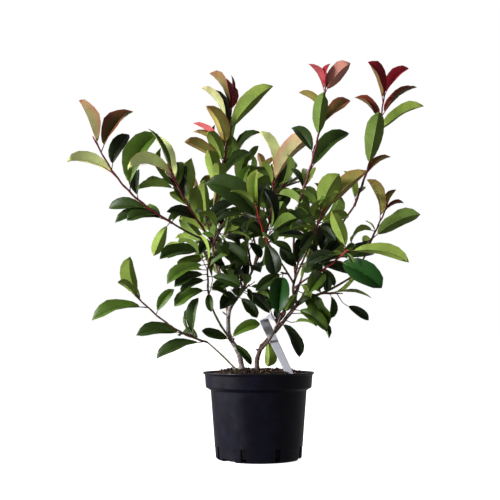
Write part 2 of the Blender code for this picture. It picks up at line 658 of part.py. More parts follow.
def build_foliage(limbs, leaf_green):
    """Grows every mass: all stems, then the leaves that show, then those by rule, then the solids."""
    space = Space()
    for name, limb in limbs.items():
        space.add(name, "limb", *tube_mesh(limb, LIMB_SIDES, steps_for(limb)))
    stems = {}
    for name, shoot in SHOOTS.items():
        limb = limbs[shoot.carrier]
        radius = min(limb.tip_radius * STEM_SHARE, STEM_RADIUS)
        stems[name] = Limb(limb.point(shoot.share), shoot.tip, shoot.bow, radius, STEM_TIP_RADIUS)
        space.add(name, "stem", *tube_mesh(stems[name], STEM_SIDES, steps_for(stems[name])))
    leaves = {name: [] for name in SHOOTS}
    for name, shoot in SHOOTS.items():
        chance = random.Random(name)
        for entry in shoot.shown:
            leaf = place_leaf(name, shown_wish(stems[name], entry, chance), space)
            if leaf:
                leaves[name].append(leaf)
            else:
                print(name, "has no room for", entry)
    for name, shoot in SHOOTS.items():
        chance = random.Random(name)
        for rank in range(shoot.count):
            leaf = place_leaf(name, spiral_wish(stems[name], shoot, rank, chance), space)
            if leaf:
                leaves[name].append(leaf)
    for name, shoot in SHOOTS.items():
        mass = add_object(name, *tube_mesh(stems[name], STEM_SIDES, steps_for(stems[name])), leaf_green)
        solids = [add_object("leaf", *leaf.mesh(), None) for leaf in leaves[name]]
        apply_boolean(mass, "UNION", solids)
        scraps = cut_clear(mass, limbs)
        print(f"{name}: {len(leaves[name])} leaves, {scraps} scraps dropped")
    print("leaves in all:", sum(len(group) for group in leaves.values()))


# The pot, the compost and the label


def lathe(name, profile, material):
    """A closed solid of revolution about Z. The profile runs from the axis and back to it."""
    points, faces, rows = [], [], []
    for radius, height in profile:
        if radius == 0:
            rows.append([len(points)])
            points.append(Vector((0, 0, height)))
            continue
        rows.append(list(range(len(points), len(points) + POT_SIDES)))
        for i in range(POT_SIDES):
            turn = 2 * math.pi * i / POT_SIDES
            points.append(Vector((radius * math.cos(turn), radius * math.sin(turn), height)))
    for low, high in zip(rows, rows[1:]):
        for i in range(POT_SIDES):
            j = (i + 1) % POT_SIDES
            if len(low) == 1:
                faces.append((low[0], high[j], high[i]))
            elif len(high) == 1:
                faces.append((low[i], low[j], high[0]))
            else:
                faces.append((low[i], low[j], high[j], high[i]))
    return add_object(name, points, faces, material)


def sector(turn, half_angle, inner, outer, low, high, steps=6):
    """A closed block between two radii and two heights, as far round Z as the half angle."""
    points, faces = [], []
    for i in range(steps + 1):
        angle = turn + half_angle * (2 * i / steps - 1)
        way = Vector((math.sin(angle), -math.cos(angle), 0))
        for radius, height in ((inner, low), (outer, low), (outer, high), (inner, high)):
            points.append(way * radius + Vector((0, 0, height)))
    for row in range(0, 4 * steps, 4):
        faces += [(row + k, row + (k + 1) % 4, row + 4 + (k + 1) % 4, row + 4 + k) for k in range(4)]
    faces += [(3, 2, 1, 0), tuple(4 * steps + k for k in range(4))]
    block = add_object("block", points, faces, None)
    face_outwards(block)
    return block


def arches(inner, outer, low, high, ease):
    """One block for each arch in the pot's foot, wider on every side by ease."""
    half = ARCH_HALF_ANGLE + ease / BASE_RADIUS
    return [
        sector(ARCH_TURN + 2 * math.pi * i / ARCH_COUNT, half, inner - ease, outer, low, high + ease)
        for i in range(ARCH_COUNT)
    ]


def build_pot(plastic):
    """The shell: a tapering body, a stepped rim band with a lip, slots, and arches in its foot."""
    outside = [
        (0, 0), (BASE_RADIUS - BASE_CHAMFER, 0), (BASE_RADIUS, BASE_CHAMFER),
        (BODY_TOP_RADIUS, BAND_FOOT), (BAND_LOW_RADIUS, BAND_FOOT + BAND_SLOPE),
        (BAND_RADIUS, POT_HEIGHT - LIP_DEPTH), (LIP_RADIUS, POT_HEIGHT - LIP_DEPTH),
        (LIP_RADIUS, POT_HEIGHT),
    ]
    inside = [
        (BAND_RADIUS - WALL, POT_HEIGHT), (BAND_LOW_RADIUS - WALL, BAND_FOOT + BAND_SLOPE + WALL),
        (BODY_TOP_RADIUS - WALL, BAND_FOOT + WALL), (BASE_RADIUS - WALL, FLOOR), (0, FLOOR),
    ]
    pot = lathe("pot", outside + inside, plastic)
    arch_inner = BASE_RADIUS - ARCH_DEPTH
    roofs = arches(arch_inner, BASE_RADIUS - WALL / 2, FLOOR / 2, ARCH_HEIGHT, WALL)
    apply_boolean(pot, "UNION", roofs)
    apply_boolean(pot, "DIFFERENCE", arches(arch_inner, BASE_RADIUS + OVERCUT, -WALL, ARCH_HEIGHT, 0))
    step = 2 * math.pi / SLOT_COUNT
    half = SLOT_WIDTH / BASE_RADIUS / 2
    slots = [
        sector(SLOT_TURN + step * (i + 0.5), half, BASE_RADIUS - SLOT_BITE, BASE_RADIUS + OVERCUT,
               FLOOR + 2 * GAP, SLOT_TOP, 2)
        for i in range(SLOT_COUNT)
    ]
    apply_boolean(pot, "DIFFERENCE", slots)
    return pot


def build_compost(earth):
    """The fill: it follows the inside of the pot and is mounded a little round the stems."""
    floor = FLOOR + GAP
    slack = WALL + 2 * GAP
    edge_radius = BAND_LOW_RADIUS - slack
    profile = [
        (0, floor), (BASE_RADIUS - slack, floor), (BODY_TOP_RADIUS - slack, BAND_FOOT + slack),
        (edge_radius, BAND_FOOT + BAND_SLOPE + slack), (edge_radius, SOIL_TOP - SOIL_EDGE_DROP),
        (SOIL_CROWN_RADIUS, SOIL_TOP), (0, SOIL_TOP),
    ]
    compost = lathe("compost", profile, earth)
    roofs = arches(BASE_RADIUS - ARCH_DEPTH, BASE_RADIUS + OVERCUT, 0, ARCH_HEIGHT, slack)
    apply_boolean(compost, "DIFFERENCE", roofs)
    sides = (LABEL_WIDTH + 2 * GAP, LABEL_THICKNESS + 2 * GAP)
    apply_boolean(compost, "DIFFERENCE", [strip("slit", label_stations()[:2], *sides, GAP, None)])
    return compost


def label_stations():
    """Centre, way across and share of the full width, from the buried end to the tail."""
    foot, shoulder = Vector(LABEL_FOOT), Vector(LABEL_SHOULDER)
    lean = (shoulder - foot).normalized()
    across = Vector((0.80, 0.36, 0.46))
    across = (across - lean * across.dot(lean)).normalized()
    folded = Vector((0.45, 0.45, 0.75)).normalized()
    return [
        (foot - lean * LABEL_DEPTH, across, 0.8), (shoulder, across, 1.0),
        (shoulder + Vector((0.001, -0.005, 0.008)), (across + folded).normalized(), 0.9),
        (shoulder + Vector((0.010, -0.017, 0.012)), folded, 0.75),
        (shoulder + Vector((0.020, -0.025, 0.005)), folded, 0.45),
    ]


def strip(name, stations, width, thickness, longer, material):
    """A flat strip through the stations, a little longer at its first end."""
    points = []
    for i, (centre, across, share) in enumerate(stations):
        before = stations[max(0, i - 1)][0]
        after = stations[min(len(stations) - 1, i + 1)][0]
        ahead = (after - before).normalized()
        face = ahead.cross(across).normalized() * (thickness / 2)
        half = across * (width * share / 2)
        middle = centre - ahead * longer if i == 0 else centre
        points += [middle + half + face, middle - half + face]
        points += [middle - half - face, middle + half - face]
    faces = [(3, 2, 1, 0), tuple(len(points) - 4 + k for k in range(4))]
    for row in range(0, len(points) - 4, 4):
        faces += [(row + k, row + (k + 1) % 4, row + 4 + (k + 1) % 4, row + 4 + k) for k in range(4)]
    obj = add_object(name, points, faces, material)
    face_outwards(obj)
    return obj


def build_label(plastic):
    """A strip that stands in the compost, leans up behind the stems and folds over them."""
    return strip("plant_label", label_stations(), LABEL_WIDTH, LABEL_THICKNESS, 0, plastic)


def main():
    """Builds the whole plant in its pot."""
    clear_scene()
    bark = make_material("bark", (0.20, 0.13, 0.10), 0.75)
    leaf_green = make_material("leaf_green", (0.08, 0.16, 0.03), 0.45)
    black_plastic = make_material("black_plastic", (0.012, 0.012, 0.014), 0.45)
    white_plastic = make_material("white_plastic", (0.75, 0.75, 0.78), 0.5)
    earth = make_material("compost", (0.05, 0.035, 0.02), 0.95)
    build_pot(black_plastic)
    build_compost(earth)
    build_label(white_plastic)
    limbs = make_limbs()
    build_limbs(limbs, bark)
    build_foliage(limbs, leaf_green)


main()
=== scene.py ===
# %% [markdown]
# # A potted photinia, dressed for its portrait
#
# The plant is a young photinia: an evergreen shrub with leathery leaves, dark and glossy on top
# and pale yellow-green beneath, and with red new growth. It stands in a black nursery pot.
#
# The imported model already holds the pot, the compost, the label, every woody limb and every mass
# of foliage as plain solids. This lesson keeps them where they are and grows the finished surface
# over them: bark with relief, leaves with a fold, a midrib and two different sides, and so on.

import math
import random
from typing import NamedTuple

import bpy
import numpy as np
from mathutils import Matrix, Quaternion, Vector
from mathutils.bvhtree import BVHTree


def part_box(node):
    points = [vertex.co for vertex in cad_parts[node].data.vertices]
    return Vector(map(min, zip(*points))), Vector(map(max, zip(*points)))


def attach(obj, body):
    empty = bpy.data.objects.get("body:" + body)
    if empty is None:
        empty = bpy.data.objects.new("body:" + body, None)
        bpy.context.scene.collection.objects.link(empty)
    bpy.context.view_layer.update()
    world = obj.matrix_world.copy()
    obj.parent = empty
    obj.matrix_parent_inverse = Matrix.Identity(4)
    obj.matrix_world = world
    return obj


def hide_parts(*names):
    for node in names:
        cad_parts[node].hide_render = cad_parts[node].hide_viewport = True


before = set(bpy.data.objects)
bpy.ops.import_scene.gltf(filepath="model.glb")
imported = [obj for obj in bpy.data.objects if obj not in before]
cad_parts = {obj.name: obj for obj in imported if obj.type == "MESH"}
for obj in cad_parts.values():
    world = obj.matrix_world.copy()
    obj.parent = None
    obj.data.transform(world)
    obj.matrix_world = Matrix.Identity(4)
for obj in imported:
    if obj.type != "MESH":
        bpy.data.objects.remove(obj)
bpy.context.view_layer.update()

# %% [markdown]
# ## The camera
#
# A portrait of a plant is taken from a little distance with a longer lens, so that the near leaves
# don't swell. The camera stands at 1.85 m from the pot's axis, a hand's width above the rim, and
# tilts up by 5.4 degrees to take in the tips.

# %% The camera
LENS = 65
SENSOR = 36
EYE = (-0.0176, -1.853, 0.247)
TILT_UP = 0.0942

camera = bpy.data.objects.new("camera", bpy.data.cameras.new("camera"))
camera.data.lens = LENS
camera.data.sensor_width = SENSOR
camera.location = EYE
camera.rotation_euler = (math.pi / 2 + TILT_UP, 0, 0)
bpy.context.scene.collection.objects.link(camera)
bpy.context.scene.camera = camera
print("field of view:", round(math.degrees(2 * math.atan(SENSOR / 2 / LENS)), 1), "degrees")

# %% [markdown]
# ## Light, floor and background
#
# The plant is seen against plain white. The main light comes from the front left, as the pot's
# broad highlight shows. It is a sun with a wide disc, because a sun lights the whole floor evenly,
# so that the floor runs into the background. A large soft lamp to the left is the one that the
# pot's side mirrors, a low one reaches the undersides of the leaves, and a weak one behind lights
# their rims. The surroundings give only a dim light, because the heart of the bush has to
# stay nearly black, so the brightness that the camera sees there is set apart from the light that
# it gives. For the same reason the floor, which is seen white, throws no light back up.

# %% Lamps and surroundings
WHITE = (1, 1, 1, 1)
BACKGROUND = 1.0
AMBIENT = 0.27
SUN_FROM = (-1.3, -0.80, 0.80)
SUN_POWER = 4.1
SUN_DISC = math.radians(16)
LAMPS = {  # name: (place, side in metres, watts)
    "gloss": ((-1.9, 0.2, 0.55), 1.15, 44),
    "low": ((-2.0, -1.0, 0.15), 0.6, 24),
    "rim": ((1.2, 1.7, 1.9), 0.9, 14),
}
LOOK_AT = Vector((0, 0, 0.40))


def place_light(name, kind, place):
    """A lamp at a place, turned to the middle of the plant."""
    data = bpy.data.lights.new(name, kind)
    lamp = bpy.data.objects.new(name, data)
    lamp.location = place
    lamp.rotation_euler = (LOOK_AT - Vector(place)).to_track_quat("-Z", "Y").to_euler()
    bpy.context.scene.collection.objects.link(lamp)
    return data


scene = bpy.context.scene
scene.view_settings.view_transform = "Standard"
scene.world = bpy.data.worlds.new("studio")
scene.world.use_nodes = True
world_tree = scene.world.node_tree
light = world_tree.nodes["Background"]
seen = world_tree.nodes.new("ShaderNodeBackground")
for background, strength in ((light, AMBIENT), (seen, BACKGROUND)):
    background.inputs["Color"].default_value = WHITE
    background.inputs["Strength"].default_value = strength
rays = world_tree.nodes.new("ShaderNodeLightPath")
choice = world_tree.nodes.new("ShaderNodeMixShader")
world_tree.links.new(rays.outputs["Is Camera Ray"], choice.inputs["Fac"])
world_tree.links.new(light.outputs[0], choice.inputs[1])
world_tree.links.new(seen.outputs[0], choice.inputs[2])
world_tree.links.new(choice.outputs[0], world_tree.nodes["World Output"].inputs["Surface"])

sun = place_light("sun", "SUN", SUN_FROM)
sun.energy = SUN_POWER
sun.angle = SUN_DISC
for lamp_name, (place, side, watts) in LAMPS.items():
    lamp = place_light(lamp_name, "AREA", place)
    lamp.size = side
    lamp.energy = watts
print("lamps: sun,", ", ".join(LAMPS))

# %% [markdown]
# ## Two ways to make a mesh
#
# Nearly everything here is either a tube (trunks, stems, leaf stalks) or a surface on a grid (the
# pot, the compost, the label, a leaf). Both are rows of points, so the points are worked out as
# whole numpy arrays and handed to Blender in one go. That is fast enough for hundreds of leaves,
# which modelling tools that work on one object at a time are not.

# %% From arrays to a mesh
BODY = "root"


def srgb(red, green, blue):
    """A colour as a screen shows it, 0 to 255, as the linear colour that a shader takes."""
    share = np.array((red, green, blue)) / 255
    linear = np.where(share <= 0.04045, share / 12.92, ((share + 0.055) / 1.055) ** 2.4)
    return tuple(float(v) for v in linear)


def unit(vectors):
    """Each vector divided by its length."""
    return vectors / np.linalg.norm(vectors, axis=-1, keepdims=True)


def grid_quads(rows, columns, closed):
    """Corner numbers of the quads between neighbouring rows. closed joins last column to first."""
    across = columns if closed else columns - 1
    row, column = np.meshgrid(np.arange(rows - 1), np.arange(across), indexing="ij")
    after = (column + 1) % columns
    corners = (row * columns + column, row * columns + after,
               (row + 1) * columns + after, (row + 1) * columns + column)
    return np.stack(corners, axis=-1).reshape(-1, 4)


def make_piece(name, points, quads, tris, materials, quad_slots=None, tri_slots=None,
               uv=None, sharp=None):
    """One mesh piece from arrays of points, quads and triangles, each face with its material's number.

    uv holds one pair for each point. sharp holds one number for each point: an edge between two
    points of the same number over 0 is shaded as a crease.
    """
    mesh = bpy.data.meshes.new(name)
    corners = np.concatenate([np.ravel(quads), np.ravel(tris)]).astype(np.int32)
    sizes = np.concatenate([np.full(len(quads), 4), np.full(len(tris), 3)]).astype(np.int32)
    mesh.vertices.add(len(points))
    mesh.vertices.foreach_set("co", np.ravel(points).astype(np.float32))
    mesh.loops.add(len(corners))
    mesh.loops.foreach_set("vertex_index", corners)
    mesh.polygons.add(len(sizes))
    mesh.polygons.foreach_set("loop_start", (np.cumsum(sizes) - sizes).astype(np.int32))
    for material in materials:
        mesh.materials.append(material)
    if quad_slots is not None or tri_slots is not None:
        first = np.zeros(len(quads)) if quad_slots is None else quad_slots
        second = np.zeros(len(tris)) if tri_slots is None else tri_slots
        mesh.polygons.foreach_set("material_index", np.concatenate([first, second]).astype(np.int32))
    mesh.update(calc_edges=True)
    mesh.shade_smooth()
    if uv is not None:
        layer = mesh.uv_layers.new(name="UVMap")
        layer.data.foreach_set("uv", np.ravel(uv[corners]).astype(np.float32))
    if sharp is not None:
        ends = np.empty(2 * len(mesh.edges), np.int32)
        mesh.edges.foreach_get("vertices", ends)
        one, two = sharp[ends[0::2]], sharp[ends[1::2]]
        crease = mesh.attributes.new("sharp_edge", "BOOLEAN", "EDGE")
        crease.data.foreach_set("value", (one > 0) & (one == two))
    mesh.validate()
    piece = bpy.data.objects.new(name, mesh)
    bpy.context.scene.collection.objects.link(piece)
    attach(piece, BODY)
    return piece


def join_parts(parts):
    """Several meshes as one: points, quads, triangles, and the slots of the quads and triangles.

    A part is its points, its quads, its triangles and its slot.
    """
    points, quads, tris, slots = zip(*parts)
    shift = np.cumsum([0] + [len(some) for some in points[:-1]])
    joined = [np.concatenate(points)]
    joined += [np.concatenate([f + start for f, start in zip(faces, shift)]) for faces in (quads, tris)]
    joined += [np.repeat(slots, [len(f) for f in faces]) for faces in (quads, tris)]
    return joined


NO_TRIS = np.empty((0, 3), int)
FRONT = np.array((0.0, -1.0, 0.0))


def tube(path, radii, sides, relief=None):
    """A closed tube: at each point of the path a ring square to it, and a point to cap each end.

    The ring's first point faces the front. relief, one row for each ring and one column for each
    side, is how far the surface stands out there.
    """
    tangent = unit(np.gradient(path, axis=0))
    front = unit(FRONT - tangent * (tangent @ FRONT)[:, None])
    right = np.cross(tangent, front)
    turn = np.linspace(0, 2 * np.pi, sides, endpoint=False)
    out = front[:, None] * np.cos(turn)[None, :, None] + right[:, None] * np.sin(turn)[None, :, None]
    reach = np.asarray(radii)[:, None] + (0 if relief is None else relief)
    rings = path[:, None] + out * np.broadcast_to(reach, (len(path), sides))[:, :, None]
    points = np.concatenate([rings.reshape(-1, 3), path[:1], path[-1:]])
    quads = grid_quads(len(path), sides, True)
    side = np.arange(sides)
    after = (side + 1) % sides
    foot, tip = len(path) * sides, len(path) * sides + 1
    last = (len(path) - 1) * sides
    tris = np.concatenate([
        np.stack([np.full(sides, foot), after, side], axis=1),
        np.stack([last + side, last + after, np.full(sides, tip)], axis=1),
    ])
    return points, quads, tris


print("a tube of 4 rings has", len(tube(np.arange(12.0).reshape(4, 3), np.ones(4), 6)[1]), "quads")

# %% [markdown]
# ## A short way to write a finish
#
# A real surface is never one colour: it is mottled, its gloss varies, and it has relief too small
# to model. A finish here is a Principled shader with noise behind those three. The helper adds a
# node, sets its values and links its inputs in one call, so that each finish stays readable.

# %% Finishes from nodes
class Finish:
    """A material under construction: its shader, and calls that add nodes to it."""

    def __init__(self, name, roughness, specular=0.5):
        self.material = bpy.data.materials.new(name)
        self.material.use_nodes = True
        self.tree = self.material.node_tree
        self.shader = self.tree.nodes["Principled BSDF"]
        self.shader.inputs["Roughness"].default_value = roughness
        self.shader.inputs["Specular IOR Level"].default_value = specular
        self.place = self.add("TexCoord").outputs["Object"]

    def add(self, kind, inputs=None, **settings):
        """One node. inputs says, by name or number, what its sockets are linked to or set to."""
        node = self.tree.nodes.new("ShaderNode" + kind)
        for name, value in settings.items():
            setattr(node, name, value)
        for key, value in (inputs or {}).items():
            self.join(value, node.inputs[key])
        return node

    def join(self, value, socket):
        """Links a socket to a value's own socket, or sets it."""
        if isinstance(value, bpy.types.NodeSocket):
            self.tree.links.new(value, socket)
        elif isinstance(value, tuple) and len(value) == 3 and socket.type == "RGBA":
            socket.default_value = (*value, 1.0)
        else:
            socket.default_value = value

    def noise(self, scale, detail=3, roughness=0.55, place=None):
        """Noise whose lumps are about 1 / scale metres across."""
        inputs = {"Vector": place or self.place, "Scale": scale, "Detail": detail,
                  "Roughness": roughness}
        return self.add("TexNoise", inputs).outputs["Fac"]

    def cells(self, scale):
        """Cells of about 1 / scale metres: how far each point is from its cell's middle."""
        return self.add("TexVoronoi", {"Vector": self.place, "Scale": scale}).outputs["Distance"]

    def ramp(self, factor, low, high, start=0.0, end=1.0):
        """A factor stretched from low..high to start..end, clamped."""
        inputs = {"Value": factor, "From Min": low, "From Max": high, "To Min": start, "To Max": end}
        return self.add("MapRange", inputs).outputs["Result"]

    def mix(self, factor, first, second):
        """Two colours mixed by a factor. A node has sockets for each kind; 6 and 7 are the colours."""
        node = self.add("Mix", data_type="RGBA")
        for value, socket in ((factor, 0), (first, 6), (second, 7)):
            self.join(value, node.inputs[socket])
        return node.outputs[2]

    def math(self, operation, first, second=0.0):
        """One sum of numbers."""
        return self.add("Math", {0: first, 1: second}, operation=operation).outputs[0]

    def bump(self, height, strength, distance):
        """Relief too fine to model."""
        node = self.add("Bump", {"Height": height, "Strength": strength, "Distance": distance})
        self.join(node.outputs["Normal"], self.shader.inputs["Normal"])

    def colour(self, value):
        """What colours the shader."""
        self.join(value, self.shader.inputs["Base Color"])

    def gloss(self, value):
        """What sets the shader's roughness."""
        self.join(value, self.shader.inputs["Roughness"])


def shade(colour, factor):
    """A colour darkened or lightened."""
    return tuple(min(1.0, v * factor) for v in colour)


print("half as bright as white is", shade((1.0, 1.0, 1.0), 0.5))

# %% [markdown]
# ## The limbs, as the model has them
#
# Two trunks and a thin stem rise from the compost, and the trunks fork again and again. A limb is
# a line whose middle swells sideways by half a sine wave, with a radius that tapers evenly. The
# ones from the compost have a flare at the root, and each of the others starts on the axis of the
# limb that carries it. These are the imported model's own values, so everything that grows on them
# here stands exactly where the plain solids stand.

# %% The limbs' places
GAP = 0.0003
SOIL_TOP = 0.178
ROOT_FLARE = 0.45
FLARE_DIES = 6
LIMB_SIDES = 6
RING_SPACING = 0.033

# Every woody limb: what it grows from and how far along that, its far end, how its middle
# swells off the straight line, and its radius at both ends
LIMBS = {
    "trunk_left": (None, (-0.035, 0, SOIL_TOP), (-0.061, 0, 0.244), (0.007, 0, 0), 0.0056, 0.0047),
    "trunk_right": (None, (-0.003, -0.010, SOIL_TOP), (0.006, -0.010, 0.224), (-0.004, 0, 0),
                    0.0048, 0.0043),
    "stem_low_left": (None, (-0.046, -0.020, SOIL_TOP), (-0.104, -0.040, 0.234), (0, 0, 0.002),
                      0.0020, 0.0016),
    "bough_left": ("trunk_left", 0.99, (-0.056, 0.000, 0.313), (-0.004, 0, 0), 0.0046, 0.0036),
    "bough_left_thin": ("trunk_left", 0.86, (-0.099, -0.050, 0.317), (-0.005, 0, 0), 0.0024, 0.0018),
    "bough_left_high": ("bough_left", 0.99, (-0.097, 0.004, 0.446), (-0.010, 0, 0.004), 0.0034, 0.0025),
    "bough_middle": ("bough_left", 0.84, (-0.001, 0.050, 0.410), (0.003, 0, -0.003), 0.0030, 0.0024),
    "bough_far_left": ("bough_left_high", 0.93, (-0.174, -0.060, 0.471), (0, 0, -0.003), 0.0022, 0.0019),
    "bough_left_top": ("bough_left_high", 0.99, (-0.093, 0.060, 0.531), (0.002, 0, 0), 0.0023, 0.0020),
    "bough_middle_high": ("bough_middle", 0.99, (-0.033, 0.105, 0.531), (0.004, 0, 0), 0.0021, 0.0018),
    "bough_right": ("trunk_right", 0.99, (0.092, 0.010, 0.326), (0, 0, -0.002), 0.0042, 0.0033),
    "bough_right_inner": ("trunk_right", 0.86, (0.034, -0.036, 0.262), (0.002, -0.004, -0.003),
                          0.0028, 0.0024),
    "bough_right_fork": ("bough_right", 0.86, (0.076, -0.010, 0.367), (-0.007, 0, 0), 0.0029, 0.0025),
    "bough_front": ("bough_right_fork", 0.75, (0.017, -0.070, 0.431), (0, 0, 0.002), 0.0020, 0.0018),
    "bough_right_front": ("bough_right_fork", 0.90, (0.110, -0.080, 0.446), (0, 0, 0), 0.0020, 0.0018),
    "bough_right_high": ("bough_right_fork", 0.99, (0.083, -0.055, 0.518), (-0.008, 0, 0), 0.0024, 0.0020),
    "bough_right_low": ("bough_right_fork", 0.55, (0.121, -0.065, 0.372), (0, 0, 0.003), 0.0019, 0.0017),
    "bough_right_side": ("bough_right", 0.94, (0.201, 0.075, 0.372), (0, 0, -0.006), 0.0029, 0.0022),
    "bough_right_top": ("bough_right", 0.99, (0.205, 0.045, 0.522), (-0.006, 0, 0.004), 0.0026, 0.0020),
    "bough_far_right": ("bough_right_side", 0.99, (0.244, 0.105, 0.448), (0.003, 0, -0.003), 0.0021, 0.0018),
    "bough_back_left": ("bough_left", 0.60, (-0.095, 0.135, 0.440), (0, 0.010, 0), 0.0026, 0.0019),
    "bough_back_middle": ("bough_middle", 0.80, (0.015, 0.165, 0.500), (0, 0.010, 0), 0.0021, 0.0017),
    "bough_back_right": ("bough_right", 0.70, (0.115, 0.140, 0.430), (0, 0.010, 0), 0.0024, 0.0018),
}
print(len(LIMBS), "woody limbs")

# %% One limb
class Limb:
    """A tapering limb on a line from start to end whose middle swells sideways by bow."""

    def __init__(self, start, end, bow, radius, tip_radius, flare=0.0):
        self.start = Vector(start)
        self.end = Vector(end)
        self.bow = Vector(bow)
        self.radius = radius
        self.tip_radius = tip_radius
        self.flare = flare

    def point(self, share):
        """The straight line plus the bow times a half sine wave."""
        return self.start.lerp(self.end, share) + self.bow * math.sin(math.pi * share)

    def tangent(self, share):
        """The unit direction of growth there."""
        slope = self.end - self.start + self.bow * (math.pi * math.cos(math.pi * share))
        return slope.normalized()

    def radius_at(self, share):
        """An even taper, with the root flare dying away over the first sixth."""
        taper = self.radius + (self.tip_radius - self.radius) * share
        return taper + self.flare * max(0.0, 1 - share * FLARE_DIES) ** 2

    def length(self):
        """The straight distance between the ends."""
        return (self.end - self.start).length

    def path(self, shares):
        """The same line for a whole array of shares."""
        straight = np.array(self.start) + shares[:, None] * np.array(self.end - self.start)
        return straight + np.sin(np.pi * shares)[:, None] * np.array(self.bow)

    def radii(self, shares):
        """The same taper and flare for a whole array of shares."""
        taper = self.radius + (self.tip_radius - self.radius) * shares
        return taper + self.flare * np.maximum(0.0, 1 - shares * FLARE_DIES) ** 2


def make_limbs():
    """All the woody limbs by name, each starting on the axis of the one that carries it."""
    limbs = {}
    for name, (carrier, place, end, bow, radius, tip_radius) in LIMBS.items():
        if carrier is None:
            start, flare = Vector(place), radius * ROOT_FLARE
            start.z += GAP
        else:
            start, flare = limbs[carrier].point(place), 0.0
        limbs[name] = Limb(start, end, bow, radius, tip_radius, flare)
    return limbs


limbs = make_limbs()
print(len(limbs), "limbs,", round(sum(limb.length() for limb in limbs.values()), 2), "m of wood")

# %% [markdown]
# ## The shoots and their leaves
#
# Each mass of foliage is one leafy shoot that goes on from a limb. Many leaves show one by one, so
# the table gives each of those its place on the stem and its tip. The others follow the plant's
# own rule, a spiral of 137.5 degrees from leaf to leaf, large leaves at the shoot's foot and small
# ones at its tip. A leaf that would cut through another dodges a little, or isn't grown. All this
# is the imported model's rule, written again, so the leaves stand where its plain ones do. Some of
# those that show are turned further, or made wider or narrower, than in the plain masses, a few
# are added in the heart and a few by rule left out, because only the finished leaves tell which
# side of them the portrait shows.

# %% The shoots' table
class Shoot(NamedTuple):
    """A mass of foliage: one leafy stem, with leaves that show one by one and leaves by rule."""

    carrier: str  # the limb that it grows from
    share: float  # and how far along that
    tip: tuple  # where its stem ends
    bow: tuple  # how the stem's middle swells off the straight line
    size: int  # full length of a leaf by rule, in mm
    count: int  # how many leaves the spiral offers, of which those with room are kept
    heading: int  # where the spiral starts: 0 faces the front, 90 the right
    spread: float  # how far the spiral's leaves reach sideways, as a share of their reach in depth
    shown: tuple = ()  # leaves that show one by one


